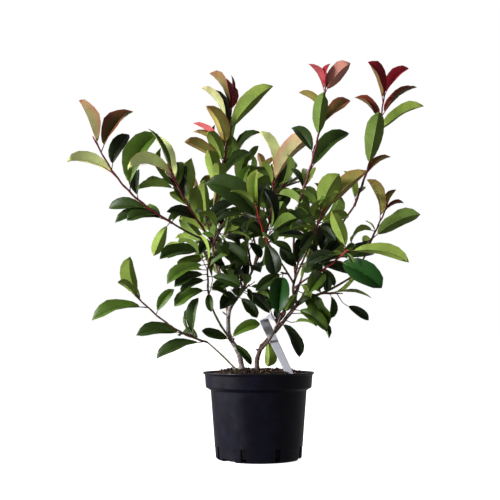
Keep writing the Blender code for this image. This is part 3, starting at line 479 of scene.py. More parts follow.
# Leaves that show one by one: how far along the stem each joins it, how far its tip lies from
# there to the right, to the back and up, in mm, by how many degrees its upper side is turned to
# the back (more than 0) or to the front (less than 0), and, where it differs, its curl in
# degrees and how wide it is against the usual leaf
SHOOTS = {
    "foliage_far_left": Shoot(
        "bough_far_left", 0.99, (-0.320, -0.130, 0.626), (-0.014, 0, -0.014), 88, 1, 200, 0.3,
        ((0.90, -42, 19, 105, 104, 34, 1.2), (0.88, 58, 24, 90, -40, 34, 1.2), (0.71, 30, 29, 79, -40),
         (0.62, -89, -29, 50, 40, 60, 0.9), (0.46, 55, -24, 113, -65, 50, 1.2), (0.36, -9, 43, 70, -20),
         (0.22, -87, 10, 6, -35), (0.13, -63, -24, -4, -50, 34, 1.3), (0.05, -105, -10, -4, -40),
         (0.02, -30, -19, -71, 100))),
    "foliage_left_front": Shoot(
        "bough_left_high", 0.955, (-0.176, -0.120, 0.575), (-0.006, 0, 0), 88, 3, 0, 0.6,
        ((0.80, -84, -58, 42, 50, 75), (0.88, -45, -24, 92, 30, 50, 0.5),
         (0.74, -48, 19, 108, 120, 34, 0.75), (0.45, 0, 14, 104, 120, 34, 1.2),
         (0.71, -8, 39, 64, -20), (0.68, -39, 48, 44, -20), (0.16, -19, -39, 81, 120, 34, 1.15),
         (0.27, -61, -39, 16, -60), (0.41, -6, 29, 76, -20), (0.19, 68, -19, 49, -45))),
    "foliage_left_top": Shoot(
        "bough_left_top", 0.99, (-0.058, 0.110, 0.751), (0.004, 0, 0), 88, 3, 0, 0.4,
        ((0.90, -31, 25, 112, -20, 34, 1.5), (0.96, 3, -8, 79, -110, 30, 0.5),
         (0.74, -58, 16, 105, -25, 34, 1.35), (0.69, 98, -26, 108, 35, 45, 0.85),
         (0.53, -42, -26, 96, 30), (0.52, -71, 22, 71, 30, 34, 0.6),
         (0.50, -69, -5, 51, -20), (0.59, -7, 21, 49, -20), (0.38, -83, -26, 48, 40),
         (0.62, -75, -20, -39, -30), (0.38, -39, -31, 64, 50), (0.37, 17, 26, 75, -30),
         (0.10, -17, -42, 87, 20), (0.23, 68, 26, 68, -50), (0.03, 42, 42, 14, -40))),
    "foliage_middle_high": Shoot(
        "bough_middle_high", 0.99, (-0.057, 0.170, 0.662), (-0.002, 0, 0), 88, 4, 90, 0.8,
        ((0.69, 59, 26, 92, -40, 70), (0.86, 48, 48, 109, -40), (0.10, 19, 21, 84, -80),
         (0.37, 38, -21, 63, 20), (0.12, -50, 21, -7, -80))),
    "foliage_centre": Shoot(
        "bough_middle", 0.99, (0.031, 0.030, 0.565), (0.008, 0, 0), 88, 3, 0, 0.6,
        ((0.96, -27, -25, 116, 30), (0.95, 65, -32, 116, 35, 40, 1.05), (0.98, 5, 8, 60, -20),
         (0.89, 55, 38, 99, -40), (0.86, -24, 15, 26, -20), (0.60, -15, 25, 63, -30),
         (0.39, 49, 30, 85, -40), (0.32, -8, 30, -68, -40))),
    "foliage_front": Shoot(
        "bough_front", 0.99, (-0.006, -0.120, 0.497), (-0.002, 0, 0), 94, 3, 0, 0.8,
        ((0.85, -4, -34, 76, 0), (0.48, -110, -19, 82, -60, 60), (0.06, 114, -15, 53, -45),
         (0.04, -74, -29, 36, -50), (0.04, 16, -12, -69, -50, 30, 1.3), (0.20, -47, 19, 51, -30),
         (0.04, 51, 5, -24, -35))),
    "foliage_right_high": Shoot(
        "bough_right_high", 0.99, (0.132, -0.110, 0.740), (0.008, 0, 0), 88, 2, 180, 0.3,
        ((0.93, -32, -14, 56, 30), (0.97, 8, -8, 48, 0), (0.92, 49, -14, 59, 75, 30, 1.35),
         (0.97, 16, 14, 40, -20), (0.78, -46, 10, 40, 60, 34, 1.2), (0.52, 15, -33, 96, 15, 22, 0.95),
         (0.63, 64, 19, 64, -30), (0.39, -41, 31, 68, -40), (0.25, 83, 14, 86, -35),
         (0.09, -23, 10, 48, -20))),
    "foliage_right_front": Shoot(
        "bough_right_front", 0.99, (0.123, -0.130, 0.488), (0, 0, 0), 92, 2, -60, 0.8,
        ((0.75, 32, -34, 77, 140, 34, 1.35), (0.86, 87, -10, 83, 100), (0.43, 64, 19, 20, -40),
         (0.23, -34, -24, -43, -40), (0.40, 31, -34, -35, -40))),
    "foliage_right_top": Shoot(
        "bough_right_top", 0.99, (0.278, 0.070, 0.791), (0.010, 0, 0), 90, 2, 180, 0.3,
        ((0.84, -10, -15, 94, -72, 34, 1.4), (0.89, 58, 12, 71, -50), (0.92, 8, 16, 52, -20, 30, 0.8),
         (0.72, 81, 15, 76, -20), (0.69, -52, 15, 60, -40, 34, 1.3), (0.58, 98, -20, 61, 35, 45, 0.85),
         (0.29, 22, -31, 121, 20, 22), (0.25, 51, 15, 52, -20), (0.03, -25, -10, 67, 30))),
    "foliage_far_right": Shoot(
        "bough_far_right", 0.99, (0.289, 0.150, 0.533), (0, 0, 0), 80, 2, 180, 0.4,
        ((0.59, -24, 16, 99, 20), (0.89, 31, 12, 56, -30), (0.91, 45, 16, 20, -40),
         (0.80, -12, 10, 54, -70), (0.11, 103, -26, 53, 45), (0.32, -61, -42, -30, 20, 70),
         (0.32, -19, 16, 26, -20), (0.11, -35, -21, -42, -45))),
    "foliage_right_low": Shoot(
        "bough_right_low", 0.99, (0.165, -0.150, 0.406), (0, 0, -0.002), 94, 1, 0, 0.8,
        ((0.96, 118, -19, -19, 90, 45, 0.66), (0.61, 86, -24, -54, -65, 34, 1.4),
         (0.98, -28, -10, 75, 120), (0.86, 27, 15, 22, -40), (0.21, 3, 19, -45, -40), (0.71, 76, 29, 14, -40),
         (0.84, -65, 19, -13, -40), (0.70, -61, 37, -15, -40), (0.97, 14, -5, -24, -40),
         (0.97, -26, 29, 49, -40), (0.29, -46, 19, -7, -40))),
    "foliage_right_side": Shoot(
        "bough_right_side", 0.40, (0.170, 0.030, 0.334), (0, 0, 0), 88, 2, 180, 0.8,
        ((0.30, 93, 0, -16, 15, 34, 0.6), (0.68, 58, -10, 29, 20), (0.46, -1, -30, -53, -20))),
    "foliage_left_thin": Shoot(
        "bough_left_thin", 0.99, (-0.100, -0.080, 0.391), (-0.002, 0, 0), 82, 2, 90, 1,
        ((0.94, -80, -20, -38, -35), (0.68, -64, -25, -25, -40), (0.55, -52, -29, -30, -40),
         (0.27, -66, -20, -32, -40), (0.22, 6, -20, -40, -30), (0.84, 40, -15, 25, -40),
         (0.37, 43, 20, -25, -40), (0.63, 65, -20, -21, -40))),
    "foliage_left_side": Shoot(
        "bough_left_high", 0.70, (-0.152, 0.060, 0.433), (0, 0, 0.004), 86, 2, 180, 0.8,
        ((0.22, -95, -41, -13, -80, 50), (0.36, -74, -20, -14, -85))),
    "foliage_low_left": Shoot(
        "stem_low_left", 0.99, (-0.246, -0.080, 0.328), (0.004, 0, -0.018), 84, 2, 180, 0.3,
        ((0.82, -111, -10, -23, -30), (0.34, -93, -19, 10, -45), (0.93, -19, -15, 84, 60, 34, 1.2),
         (0.90, -25, 19, 36, -20, 30, 0.8), (0.72, 36, -15, 49, -80), (0.42, -64, 24, 3, -40),
         (0.03, -96, -19, -31, -30), (0.20, 8, -15, 80, -45), (0.22, -10, 14, 56, 30))),
    "foliage_inner": Shoot(
        "bough_right_inner", 0.99, (0.047, -0.040, 0.290), (0, 0, 0), 80, 2, 180, 1,
        ((0.51, 41, -20, -72, -30), (0.82, -31, -30, 32, -80))),
    "foliage_foot_left": Shoot(
        "trunk_left", 0.80, (-0.060, -0.022, 0.240), (0, 0, 0), 76, 0, 0, 1,
        ((0.60, -58, -20, 20, -50), (0.85, 62, -8, 32, -40), (0.50, 42, 14, -50, -30, 34, 0.75))),
    "foliage_fork": Shoot(
        "bough_right_fork", 0.35, (0.085, -0.032, 0.356), (0, 0, 0), 80, 2, 0, 1,
        ((0.86, 23, -20, -31, 100), (0.92, 53, -15, 12, 100), (0.72, 47, 5, -16, -30),
         (0.33, 63, -20, -73, -50, 60))),
    "foliage_front_low": Shoot(
        "bough_front", 0.22, (0.046, -0.050, 0.372), (0, 0, 0), 90, 1, 90, 1,
        ((0.75, -12, -44, -82, -20, 34, 1.4), (0.66, -57, -15, -37, -40))),
    "foliage_heart_left": Shoot(
        "bough_left_high", 0.86, (-0.072, -0.045, 0.470), (0, 0, 0), 86, 1, 0, 1,
        ((0.19, 67, -25, -50, -55, 34, 1.35), (0.80, -3, 35, 54, -40))),
    "foliage_heart_middle": Shoot(
        "bough_middle", 0.75, (-0.026, 0.000, 0.447), (0, 0, 0), 86, 2, 0, 1,
        ((0.40, -12, -10, -54, -45), (0.28, -47, -5, 39, -45), (0.94, 33, 15, 18, -75),
         (0.82, -19, 15, 39, -30), (0.95, -42, 12, 6, -60, 34, 1.3), (0.90, 30, 10, -34, -60, 34, 1.3))),
    "foliage_heart_low": Shoot(
        "bough_middle", 0.38, (-0.038, -0.015, 0.378), (0, 0, 0), 86, 1, 0, 1,
        ((0.53, -59, -20, -21, -45, 34, 1.2), (0.89, -39, -10, 7, -30), (0.84, -22, 20, 34, -30),
         (0.94, 14, -15, 31, -40))),
    "foliage_heart_front": Shoot(
        "bough_middle", 0.22, (-0.022, -0.020, 0.347), (0, 0, 0), 86, 1, 0, 1,
        ((0.12, 38, -15, -44, -50, 34, 1.2), (0.52, 55, -20, -44, -50), (0.87, 11, -20, -30, -40),
         (1.00, 47, 5, -20, -30))),
    "foliage_heart_right": Shoot(
        "bough_right_high", 0.06, (0.081, -0.045, 0.396), (0, 0, 0), 86, 2, 0, 1,
        ((0.47, 7, -15, 57, -60, 30, 1.3), (0.39, -19, -15, 20, -40), (0.72, 51, -12, -16, -40),
         (0.20, -34, -6, 44, -60, 34, 1.4), (0.08, -30, -4, -30, -60, 34, 1.3))),
    "foliage_heart_fork": Shoot(
        "bough_right_top", 0.20, (0.130, -0.012, 0.409), (0, 0, 0), 86, 2, 0, 1,
        ((0.95, 13, 10, 75, -40, 34, 1.3), (0.90, 47, 12, 53, -40), (0.82, -34, -10, 36, -40),
         (0.58, 67, -10, -17, -50), (0.82, 61, 20, 5, -40), (0.49, 36, -10, -40, -40))),
    "foliage_under": Shoot(
        "bough_right", 0.50, (0.075, -0.028, 0.302), (0, 0, 0), 80, 2, 0, 1,
        ((0.90, 72, -15, -38, -40, 50),)),
    "foliage_foot_right": Shoot(
        "bough_right", 0.14, (0.022, 0.022, 0.246), (0, 0, 0), 70, 1, 0, 1,
        ((0.47, 1, 0, -59, -10, 34, 1.4),)),
    "foliage_back_left": Shoot(
        "bough_back_left", 0.99, (-0.139, 0.235, 0.580), (0, 0.008, 0), 92, 10, 180, 1,
        ((0.13, 42, 10, 43, -40), (0.68, 49, 10, 33, -40), (0.81, 7, 10, 68, -40),
         (0.39, -48, 0, 27, -40))),
    "foliage_back_middle": Shoot(
        "bough_back_middle", 0.99, (0.010, 0.260, 0.630), (0, 0.008, 0), 92, 10, 180, 1),
    "foliage_back_right": Shoot(
        "bough_back_right", 0.99, (0.156, 0.240, 0.560), (0, 0.008, 0), 92, 10, 180, 1),
}


# %% [markdown]
# ## The colours dealt out
#
# A photinia wears many colours at once. Old leaves are dark green, this year's are mid to light
# green, and the tips are bronze, dark red, coral or cream. Leaves seen from below are pale. A
# letter stands for a colour: the first word colours the leaves of the table, in its order, and the
# others are what the leaves by rule draw from, first the grown ones, then the young at the tip.

# %% A letter for each leaf
TINTS = {
    "foliage_far_left": ("BOVYMVDDDM", "MDV", "DM"),
    "foliage_left_front": ("YMYMMDMVMV", "MVD", "LM"),
    "foliage_left_top": ("RRKLOCOOOMMDLDM", "MDO", "ROL"),
    "foliage_middle_high": ("DDMDD", "DMD", "MO"),
    "foliage_centre": ("YPDDMDDV", "DVM", "ML"),
    "foliage_front": ("LDDDVVD", "DVM", "ML"),
    "foliage_right_high": ("CCQCODODDD", "LMD", "CO"),
    "foliage_right_front": ("LOLVV", "MDV", "LM"),
    "foliage_right_top": ("RRRBBMDOM", "MDB", "RB"),
    "foliage_far_right": ("OBBBDMMD", "MDO", "BO"),
    "foliage_right_low": ("LGLMVDVVMDD", "MDV", "ML"),
    "foliage_right_side": ("MMD", "DM", "DM"),
    "foliage_left_thin": ("MDDMDMDD", "DM", "M"),
    "foliage_left_side": ("DD", "DV", "DM"),
    "foliage_low_left": ("MDLMMDDDM", "DML", "ML"),
    "foliage_inner": ("VD", "VD", "VD"),
    "foliage_foot_left": ("DMD", "DM", "DM"),
    "foliage_fork": ("LLLM", "ML", "L"),
    "foliage_front_low": ("GD", "DG", "D"),
    "foliage_heart_left": ("DV", "VD", "V"),
    "foliage_heart_middle": ("VVMVVD", "VD", "V"),
    "foliage_heart_low": ("DDDV", "VD", "V"),
    "foliage_heart_front": ("DVDD", "VD", "VD"),
    "foliage_heart_right": ("VVDVV", "VD", "V"),
    "foliage_heart_fork": ("VVVVVD", "VD", "VD"),
    "foliage_under": ("M", "DM", "D"),
    "foliage_foot_right": ("L", "MD", "M"),
    "foliage_back_left": ("VDDD", "DMD", "ROM"),
    "foliage_back_middle": ("", "DMV", "BOR"),
    "foliage_back_right": ("", "DMD", "CRO"),
}
shown_leaves = sum(len(shoot.shown) for shoot in SHOOTS.values())
print(len(SHOOTS), "shoots,", shown_leaves, "leaves that show one by one,",
      sum(len(entry[0]) for entry in TINTS.values()), "letters for them")

# %% [markdown]
# ## A leaf's geometry
#
# A photinia leaf stands on a stalk a sixth as long as its blade, folds up a little along its
# midrib, and curls back towards its tip. The midrib is an arc of a circle: it starts along the
# stalk and bends away from the side that the leaf's upper face looks to. How far it reaches is
# given, so the arc is turned until its tip lies there. The blade then turns about the midrib, as
# real leaves do to face the light. The coarse solid of a leaf is only used to test for room.

# %% Tubes as the plain solids have them
STEM_SIDES = 4
STEM_SHARE = 0.9
STEM_RADIUS = 0.0018
STEM_TIP_RADIUS = 0.0010
LEAF_CLEARANCE = 0.0012
LEAF_HALF_WIDTH = 0.215
LEAF_THICKNESS = 0.016
LEAF_STATIONS = ((0.24, 0.76), (0.52, 1.0), (0.80, 0.70))
STALK_SHARE = 0.16
PETIOLE_RADIUS = 0.0010
UPWARD = 0.9


def sideways(tangent, heading):
    """The unit direction square to tangent at that heading: 0 faces the front, 90 the right."""
    front = Vector((0, -1, 0))
    front = (front - tangent * front.dot(tangent)).normalized()
    return Quaternion(tangent, heading) @ front


def ring(centre, tangent, radius, sides):
    """A polygon of points round centre, square to tangent."""
    turns = [2 * math.pi * i / sides for i in range(sides)]
    return [centre + sideways(tangent, turn) * radius for turn in turns]


def tube_mesh(limb, sides, steps):
    """Points and faces of the limb's closed tube, as the plain solids have it."""
    points = []
    for i in range(steps + 1):
        share = i / steps
        points += ring(limb.point(share), limb.tangent(share), limb.radius_at(share), sides)
    faces = [
        (row + k, row + (k + 1) % sides, row + sides + (k + 1) % sides, row + sides + k)
        for row in range(0, steps * sides, sides)
        for k in range(sides)
    ]
    last = steps * sides
    faces.append(tuple(range(sides - 1, -1, -1)))
    faces.append(tuple(range(last, last + sides)))
    return points, faces


def steps_for(limb):
    """How many lengths between rings a limb has, at least three."""
    return max(3, round(limb.length() / RING_SPACING))


# %% A leaf as the plain solids have it
class Leaf:
    """One leaf on its stalk: a blade folded up along its midrib, whose tip curls back.

    reach is where its tip lies from its foot on the stem. The midrib is an arc of the angle curl
    that bows towards the direction bow, and the blade is turned by the angle turn about it.
    """

    def __init__(self, foot, reach, bow, turn, half_width, fold, curl):
        chord = reach.normalized()
        bow = (bow - chord * bow.dot(chord)).normalized()
        ahead = STALK_SHARE + math.sin(curl) / curl
        back = (1 - math.cos(curl)) / curl
        lead = math.atan2(back, ahead)
        self.foot = foot
        self.length = reach.length / math.hypot(ahead, back)
        self.stalk = STALK_SHARE * self.length
        self.direction = chord * math.cos(lead) + bow * math.sin(lead)
        self.bow = bow * math.cos(lead) - chord * math.sin(lead)
        self.turn = turn
        self.half_width = half_width * self.length
        self.fold = fold
        self.curl = curl

    def midrib(self, share):
        """Point, direction, upper normal and right-hand side at that share of the midrib's arc."""
        bend = self.curl * share
        ahead = math.sin(bend) / self.curl
        back = (1 - math.cos(bend)) / self.curl
        base = self.foot + self.direction * self.stalk
        point = base + (self.direction * ahead - self.bow * back) * self.length
        direction = self.direction * math.cos(bend) - self.bow * math.sin(bend)
        upper = self.direction * math.sin(bend) + self.bow * math.cos(bend)
        upper = Quaternion(direction, self.turn) @ upper
        return point, direction, upper, direction.cross(upper)

    def section(self, share, width, thickness):
        """Left edge, top of the midrib, right edge and underside of the midrib."""
        point, _, upper, side = self.midrib(share)
        rise = upper * (math.sin(self.fold) * width)
        reach = side * (math.cos(self.fold) * width)
        return [point - reach + rise, point, point + reach + rise, point - upper * thickness]

    def stalk_section(self, along, radius):
        """A small diamond round the stalk."""
        _, _, upper, side = self.midrib(0.0)
        centre = self.foot + self.direction * along
        ways = (-side, upper, side, -upper)
        return [centre + way * radius for way in ways]

    def mesh(self, spread=0.0):
        """Points and faces of the closed solid. spread makes a larger one, to test for room."""
        thickness = LEAF_THICKNESS * self.length + spread
        rows = [
            self.stalk_section(0.0, PETIOLE_RADIUS),
            self.stalk_section(self.stalk, PETIOLE_RADIUS + spread / 2),
        ]
        for share, wide in LEAF_STATIONS:
            rows.append(self.section(share, self.half_width * wide + spread, thickness))
        points = [p for row in rows for p in row]
        tip, direction, upper, _ = self.midrib(1.0)
        points.append(tip + direction * spread - upper * (thickness / 2))
        faces = [(0, 1, 2, 3)]
        for row in range(0, 4 * (len(rows) - 1), 4):
            for k in range(4):
                a, b = row + k, row + (k + 1) % 4
                faces += [(a, a + 4, b + 4), (a, b + 4, b)]
        last = 4 * (len(rows) - 1)
        faces += [(last + k, last + 4, last + (k + 1) % 4) for k in range(4)]
        return points, faces

    def blade_mesh(self):
        """The blade alone, as the closed solid without its stalk."""
        points, faces = self.mesh()
        kept = [tuple(i - 4 for i in f) for f in faces if min(f) >= 4]
        return points[4:], kept + [(0, 1, 2, 3)]


# %% The test for room
class Space:
    """What stands in the plant so far, to see whether a new leaf has room."""

    def __init__(self):
        self.held = []

    def add(self, owner, kind, points, faces):
        """Takes the room of one solid."""
        centre = sum(points, Vector()) / len(points)
        radius = max((p - centre).length for p in points)
        tree = BVHTree.FromPolygons(points, faces)
        self.held.append((owner, kind, centre, radius, tree))

    def meets(self, points, faces, wanted):
        """Whether a solid touches any held one for which wanted(owner, kind) is true."""
        centre = sum(points, Vector()) / len(points)
        radius = max((p - centre).length for p in points)
        tree = None
        for owner, kind, other_centre, other_radius, other in self.held:
            if not wanted(owner, kind) or (centre - other_centre).length > radius + other_radius:
                continue
            tree = tree or BVHTree.FromPolygons(points, faces)
            if tree.overlap(other):
                return True
        return False


def leaf_has_room(leaf, owner, space):
    """True if the leaf is clear of every other mass and limb, and its blade of its own mass."""
    whole = leaf.mesh(LEAF_CLEARANCE)
    if space.meets(*whole, lambda other, kind: other != owner):
        return False
    blade = leaf.blade_mesh()
    return not space.meets(*blade, lambda other, kind: other == owner and kind != "stalk")


# %% [markdown]
# ## Where the leaves grow
#
# First every limb and stem takes its room, then the leaves that show, then those by rule. Each
# shoot draws its small irregularities from a generator that is started with the shoot's own name,
# so the plant comes out the same on every run.

# %% The rule of growth
SPIRAL = math.radians(137.5)
SPIRAL_FOOT = 0.08
SPIRAL_TIP = 0.96
FOOT_STAND = 66
TIP_STAND = 22
YOUNG_SIZE = 0.68
GROWN_AGE = 0.39
YOUNG_FROM = 0.7

# What chance varies, in degrees or as a share: first for leaves that show, then for those by rule
SHOWN_CURL = (24, 44)
SHOWN_WIDTH = (0.94, 1.06)
SHOWN_FOLD = (16, 30)
RULE_STAND = (-7, 7)
RULE_HEADING = (-10, 10)
RULE_LENGTH = (0.90, 1.08)
RULE_FACING = (-16, 16)
RULE_WIDTH = (0.92, 1.08)
RULE_FOLD = (18, 34)
RULE_CURL = (24, 50)


class Wish(NamedTuple):
    """A leaf before it is tried for room."""

    foot: Vector
    tangent: Vector
    reach: Vector
    facing: float
    half_width: float
    fold: float
    curl: float

    def leaf(self, lift, swing):
        """The leaf, lifted towards the stem's tip and swung round the stem by these angles."""
        hinge = self.tangent.cross(self.reach).normalized()
        reach = Quaternion(self.tangent, swing) @ (Quaternion(hinge, -lift) @ self.reach)
        chord = reach.normalized()
        bow = self.tangent + Vector((0, 0, UPWARD)) * math.sin(self.tangent.angle(chord))
        bow = (bow - chord * bow.dot(chord)).normalized()
        towards = Vector((0, math.copysign(1, self.facing), 0))
        towards = (towards - chord * towards.dot(chord)).normalized()
        turn = min(abs(self.facing), bow.angle(towards))
        turn = math.copysign(turn, bow.cross(towards).dot(chord))
        return Leaf(self.foot, reach, bow, turn, self.half_width, self.fold, self.curl)


def shown_wish(stem, entry, chance):
    """A leaf that shows by itself, from its entry in the shoot's table."""
    share, right, back, up, facing, *more = entry
    curl = more[0] if more else chance.uniform(*SHOWN_CURL)
    wide = more[1] if len(more) > 1 else chance.uniform(*SHOWN_WIDTH)
    return Wish(
        stem.point(share), stem.tangent(share), Vector((right, back, up)) / 1000, math.radians(facing),
        LEAF_HALF_WIDTH * wide, math.radians(chance.uniform(*SHOWN_FOLD)), math.radians(curl),
    )


def spiral_wish(stem, shoot, rank, chance):
    """The leaf that the spiral puts at this rank of the stem, counted from its foot."""
    age = 1 - rank / max(1, shoot.count - 1)
    share = SPIRAL_FOOT + (SPIRAL_TIP - SPIRAL_FOOT) * (1 - age)
    tangent = stem.tangent(share)
    stand = math.radians(TIP_STAND + (FOOT_STAND - TIP_STAND) * age + chance.uniform(*RULE_STAND))
    heading = math.radians(shoot.heading + chance.uniform(*RULE_HEADING)) + SPIRAL * rank
    heading = math.atan2(math.sin(heading) * shoot.spread, math.cos(heading))
    outward = sideways(tangent, heading)
    direction = tangent * math.cos(stand) + outward * math.sin(stand)
    grown = YOUNG_SIZE + (1 - YOUNG_SIZE) * min(1.0, age / GROWN_AGE)
    length = shoot.size / 1000 * grown * chance.uniform(*RULE_LENGTH)
    return Wish(
        stem.point(share), tangent, direction * length, math.radians(chance.uniform(*RULE_FACING)),
        LEAF_HALF_WIDTH * chance.uniform(*RULE_WIDTH), math.radians(chance.uniform(*RULE_FOLD)),
        math.radians(chance.uniform(*RULE_CURL)),
    )


# %% Leaf by leaf, each where it finds room
# How a leaf that has no room may dodge: degrees lifted towards the tip, degrees round the stem
DODGES = ((0, 0), (-7, 0), (7, 0), (0, 12), (0, -12), (-12, 14), (12, -14), (-12, -14), (12, 14),
          (-20, 0), (20, 0), (0, 26), (0, -26))


def place_leaf(name, wish, space):
    """The first way of dodging in which the leaf has room, or nothing."""
    for lift, swing in DODGES:
        leaf = wish.leaf(math.radians(lift), math.radians(swing))
        if leaf_has_room(leaf, name, space):
            space.add(name, "blade", *leaf.blade_mesh())
            space.add(name, "stalk", *leaf.mesh())
            return leaf
    return None


class Grown(NamedTuple):
    """A leaf that has found room, with its colour's letter and the stem that it stands on."""

    leaf: Leaf
    tint: str
    stem: Limb


space = Space()
for name, limb in limbs.items():
    space.add(name, "limb", *tube_mesh(limb, LIMB_SIDES, steps_for(limb)))
stems = {}
for name, shoot in SHOOTS.items():
    limb = limbs[shoot.carrier]
    radius = min(limb.tip_radius * STEM_SHARE, STEM_RADIUS)
    stems[name] = Limb(limb.point(shoot.share), shoot.tip, shoot.bow, radius, STEM_TIP_RADIUS)
    space.add(name, "stem", *tube_mesh(stems[name], STEM_SIDES, steps_for(stems[name])))
grown = {name: [] for name in SHOOTS}
for name, shoot in SHOOTS.items():
    chance = random.Random(name)
    for entry, tint in zip(shoot.shown, TINTS[name][0]):
        leaf = place_leaf(name, shown_wish(stems[name], entry, chance), space)
        if leaf:
            grown[name].append(Grown(leaf, tint, stems[name]))
for name, shoot in SHOOTS.items():
    chance = random.Random(name)
    for rank in range(shoot.count):
        leaf = place_leaf(name, spiral_wish(stems[name], shoot, rank, chance), space)
        if leaf:
            young = rank > YOUNG_FROM * (shoot.count - 1)
            letters = TINTS[name][2 if young else 1]
            grown[name].append(Grown(leaf, letters[rank % len(letters)], stems[name]))
print("leaves from the shoots' table:", sum(len(group) for group in grown.values()))

# %% [markdown]
# ## Finer twigs in the heart of the bush
#
# The plain masses carry few leaves, so that they stay light. A real shoot also branches: from the
# foot of an old leaf grows a short side twig with smaller leaves. They fill the dark heart and the
# back of the bush, behind the large leaves that show in front, and the long young shoots that
# stand against the sky have none. The same spiral sets them, the same test for room holds, and none
# goes more than a finger's width out of its mass's own box.

# %% Side twigs
TWIG_LENGTH = (0.018, 0.046)
TWIG_STAND = math.radians(52)
TWIG_RADIUS = 0.0011
TWIG_TIP_RADIUS = 0.0007
TWIG_LEAVES = 4
TWIG_LEAF_SIZE = (74, 98)
TWIG_TINTS = "VVVDDDM"
TWIG_BOW = 0.08
FIRST_TWIG = 0.06
TWIG_STRETCH = 0.86
TWIG_SLIP = (0.2, 0.8)
TWIG_STEPS = 3
MOST_FORWARD = 0.3
BOX_SLACK = Vector((0.015, 0.022, 0.015))
FINER = {
    "foliage_heart_left": 14, "foliage_heart_middle": 18, "foliage_heart_low": 16,
    "foliage_heart_front": 13, "foliage_heart_right": 14, "foliage_heart_fork": 14,
    "foliage_centre": 9, "foliage_front": 7, "foliage_front_low": 6, "foliage_middle_high": 8,
    "foliage_inner": 4, "foliage_under": 5, "foliage_fork": 5, "foliage_right_front": 6,
    "foliage_right_side": 5, "foliage_left_side": 5, "foliage_left_thin": 4,
    "foliage_left_front": 2, "foliage_back_left": 12,
    "foliage_back_middle": 13, "foliage_back_right": 12,
}


def side_twig(stem, share, heading, length):
    """A short twig that leaves the stem at that share and heading and bends up a little."""
    tangent = stem.tangent(share)
    outward = sideways(tangent, heading)
    direction = tangent * math.cos(TWIG_STAND) + outward * math.sin(TWIG_STAND)
    start, bow = stem.point(share), outward * (TWIG_BOW * length)
    return Limb(start, start + direction * length, bow, TWIG_RADIUS, TWIG_TIP_RADIUS)


def in_box(name, points):
    """Whether all the points lie in the mass's own box, give or take the slack."""
    box_low, box_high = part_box(name)
    box_low, box_high = box_low - BOX_SLACK, box_high + BOX_SLACK
    return all(all(box_low[k] < p[k] < box_high[k] for k in range(3)) for p in points)


side_twigs = []
for name, count in FINER.items():
    chance = random.Random(name + "_finer")
    for rank in range(count):
        share = FIRST_TWIG + TWIG_STRETCH * (rank + chance.uniform(*TWIG_SLIP)) / count
        heading = math.radians(SHOOTS[name].heading) + SPIRAL * (rank + 0.5)
        if sideways(stems[name].tangent(share), heading).y < -MOST_FORWARD:
            continue
        twig = side_twig(stems[name], share, heading, chance.uniform(*TWIG_LENGTH))
        solid = tube_mesh(twig, STEM_SIDES, TWIG_STEPS)
        if space.meets(*solid, lambda other, kind: other != name or kind == "blade"):
            continue
        if not in_box(name, solid[0]):
            continue
        size, start = chance.randint(*TWIG_LEAF_SIZE), chance.randint(0, 359)
        rule = Shoot("", 0, (), (), size, TWIG_LEAVES, start, 1)
        kept = []
        for step in range(TWIG_LEAVES):
            wish = spiral_wish(twig, rule, step, chance)
            if in_box(name, wish.leaf(0, 0).mesh()[0]):
                leaf = place_leaf(name, wish, space)
                if leaf:
                    kept.append(Grown(leaf, chance.choice(TWIG_TINTS), twig))
        if kept:
            space.add(name, "stem", *solid)
            side_twigs.append((name, twig))
            grown[name] += kept
print("side twigs:", len(side_twigs), "leaves now:", sum(len(group) for group in grown.values()))

# %% [markdown]
# ## The finish of the leaves
#
# The upper side of a photinia leaf is leathery and shines; the underside is pale and dull, and its
# side veins stand out. Each colour is one plain base colour, mottled a little, and lighter along
# the side veins. The veins follow the leaf's own UV map: V runs from the stalk to the tip, and U
# across, with the midrib at one half. Young leaves are flushed with red towards margin and tip.

# %% Leaf colours
UPPER = {
    "V": ("leaf_very_dark", srgb(27, 38, 16)),
    "D": ("leaf_dark", srgb(42, 60, 19)),
    "K": ("leaf_dark_above", srgb(40, 58, 24)),
    "G": ("leaf_deep_green", srgb(27, 63, 20)),
    "M": ("leaf_mid_green", srgb(66, 90, 26)),
    "L": ("leaf_light_green", srgb(104, 130, 46)),
    "O": ("leaf_olive_bronze", srgb(92, 76, 34)),
    "B": ("leaf_bronze", srgb(110, 48, 32)),
    "R": ("leaf_dark_red", srgb(126, 20, 34)),
    "C": ("leaf_coral", srgb(164, 46, 58)),
    "Y": ("leaf_cream", srgb(188, 200, 122)),
    "P": ("leaf_flushed", srgb(186, 140, 104)),
    "Q": ("leaf_rose", srgb(176, 92, 84)),
}
UNDER = {
    "dark": ("leaf_under_dark", srgb(94, 116, 48)),
    "green": ("leaf_under_green", srgb(122, 144, 60)),
    # Painted light: the cream underside is made far brighter than the other undersides, to stand in for light
    # that shines through and bounces onto the shaded undersides of the cream leaves
    "cream": ("leaf_under_cream", srgb(226, 238, 156)),
    "pale": ("leaf_under_pale", srgb(154, 160, 108)),
    "blush": ("leaf_under_blush", srgb(196, 190, 134)),
    "rose": ("leaf_under_rose", srgb(188, 132, 116)),
    "flushed": ("leaf_under_flushed", srgb(134, 134, 64)),
    "red": ("leaf_under_red", srgb(96, 92, 46)),
    "coral": ("leaf_under_coral", srgb(190, 88, 92)),
}
FLUSH = srgb(140, 56, 50)
PALE_FLUSH = srgb(206, 134, 120)
FLUSHED = {"L": 0.2, "O": 0.7, "B": 0.4, "Y": 0.6, "P": 0.8, "Q": 0.5, "dark": 0.0, "green": 0.08,
           "cream": 0.10, "pale": 0.3, "blush": 0.7, "rose": 0.5, "flushed": 0.5, "red": 0.5, "coral": 0.3}
PALE_FLUSHED = ("P", "Y", "blush", "cream")
UNDER_OF = {"V": "dark", "D": "dark", "K": "pale", "G": "green", "M": "green", "L": "green", "O": "flushed",
            "B": "red", "R": "red", "C": "coral", "Y": "cream", "P": "blush", "Q": "rose"}
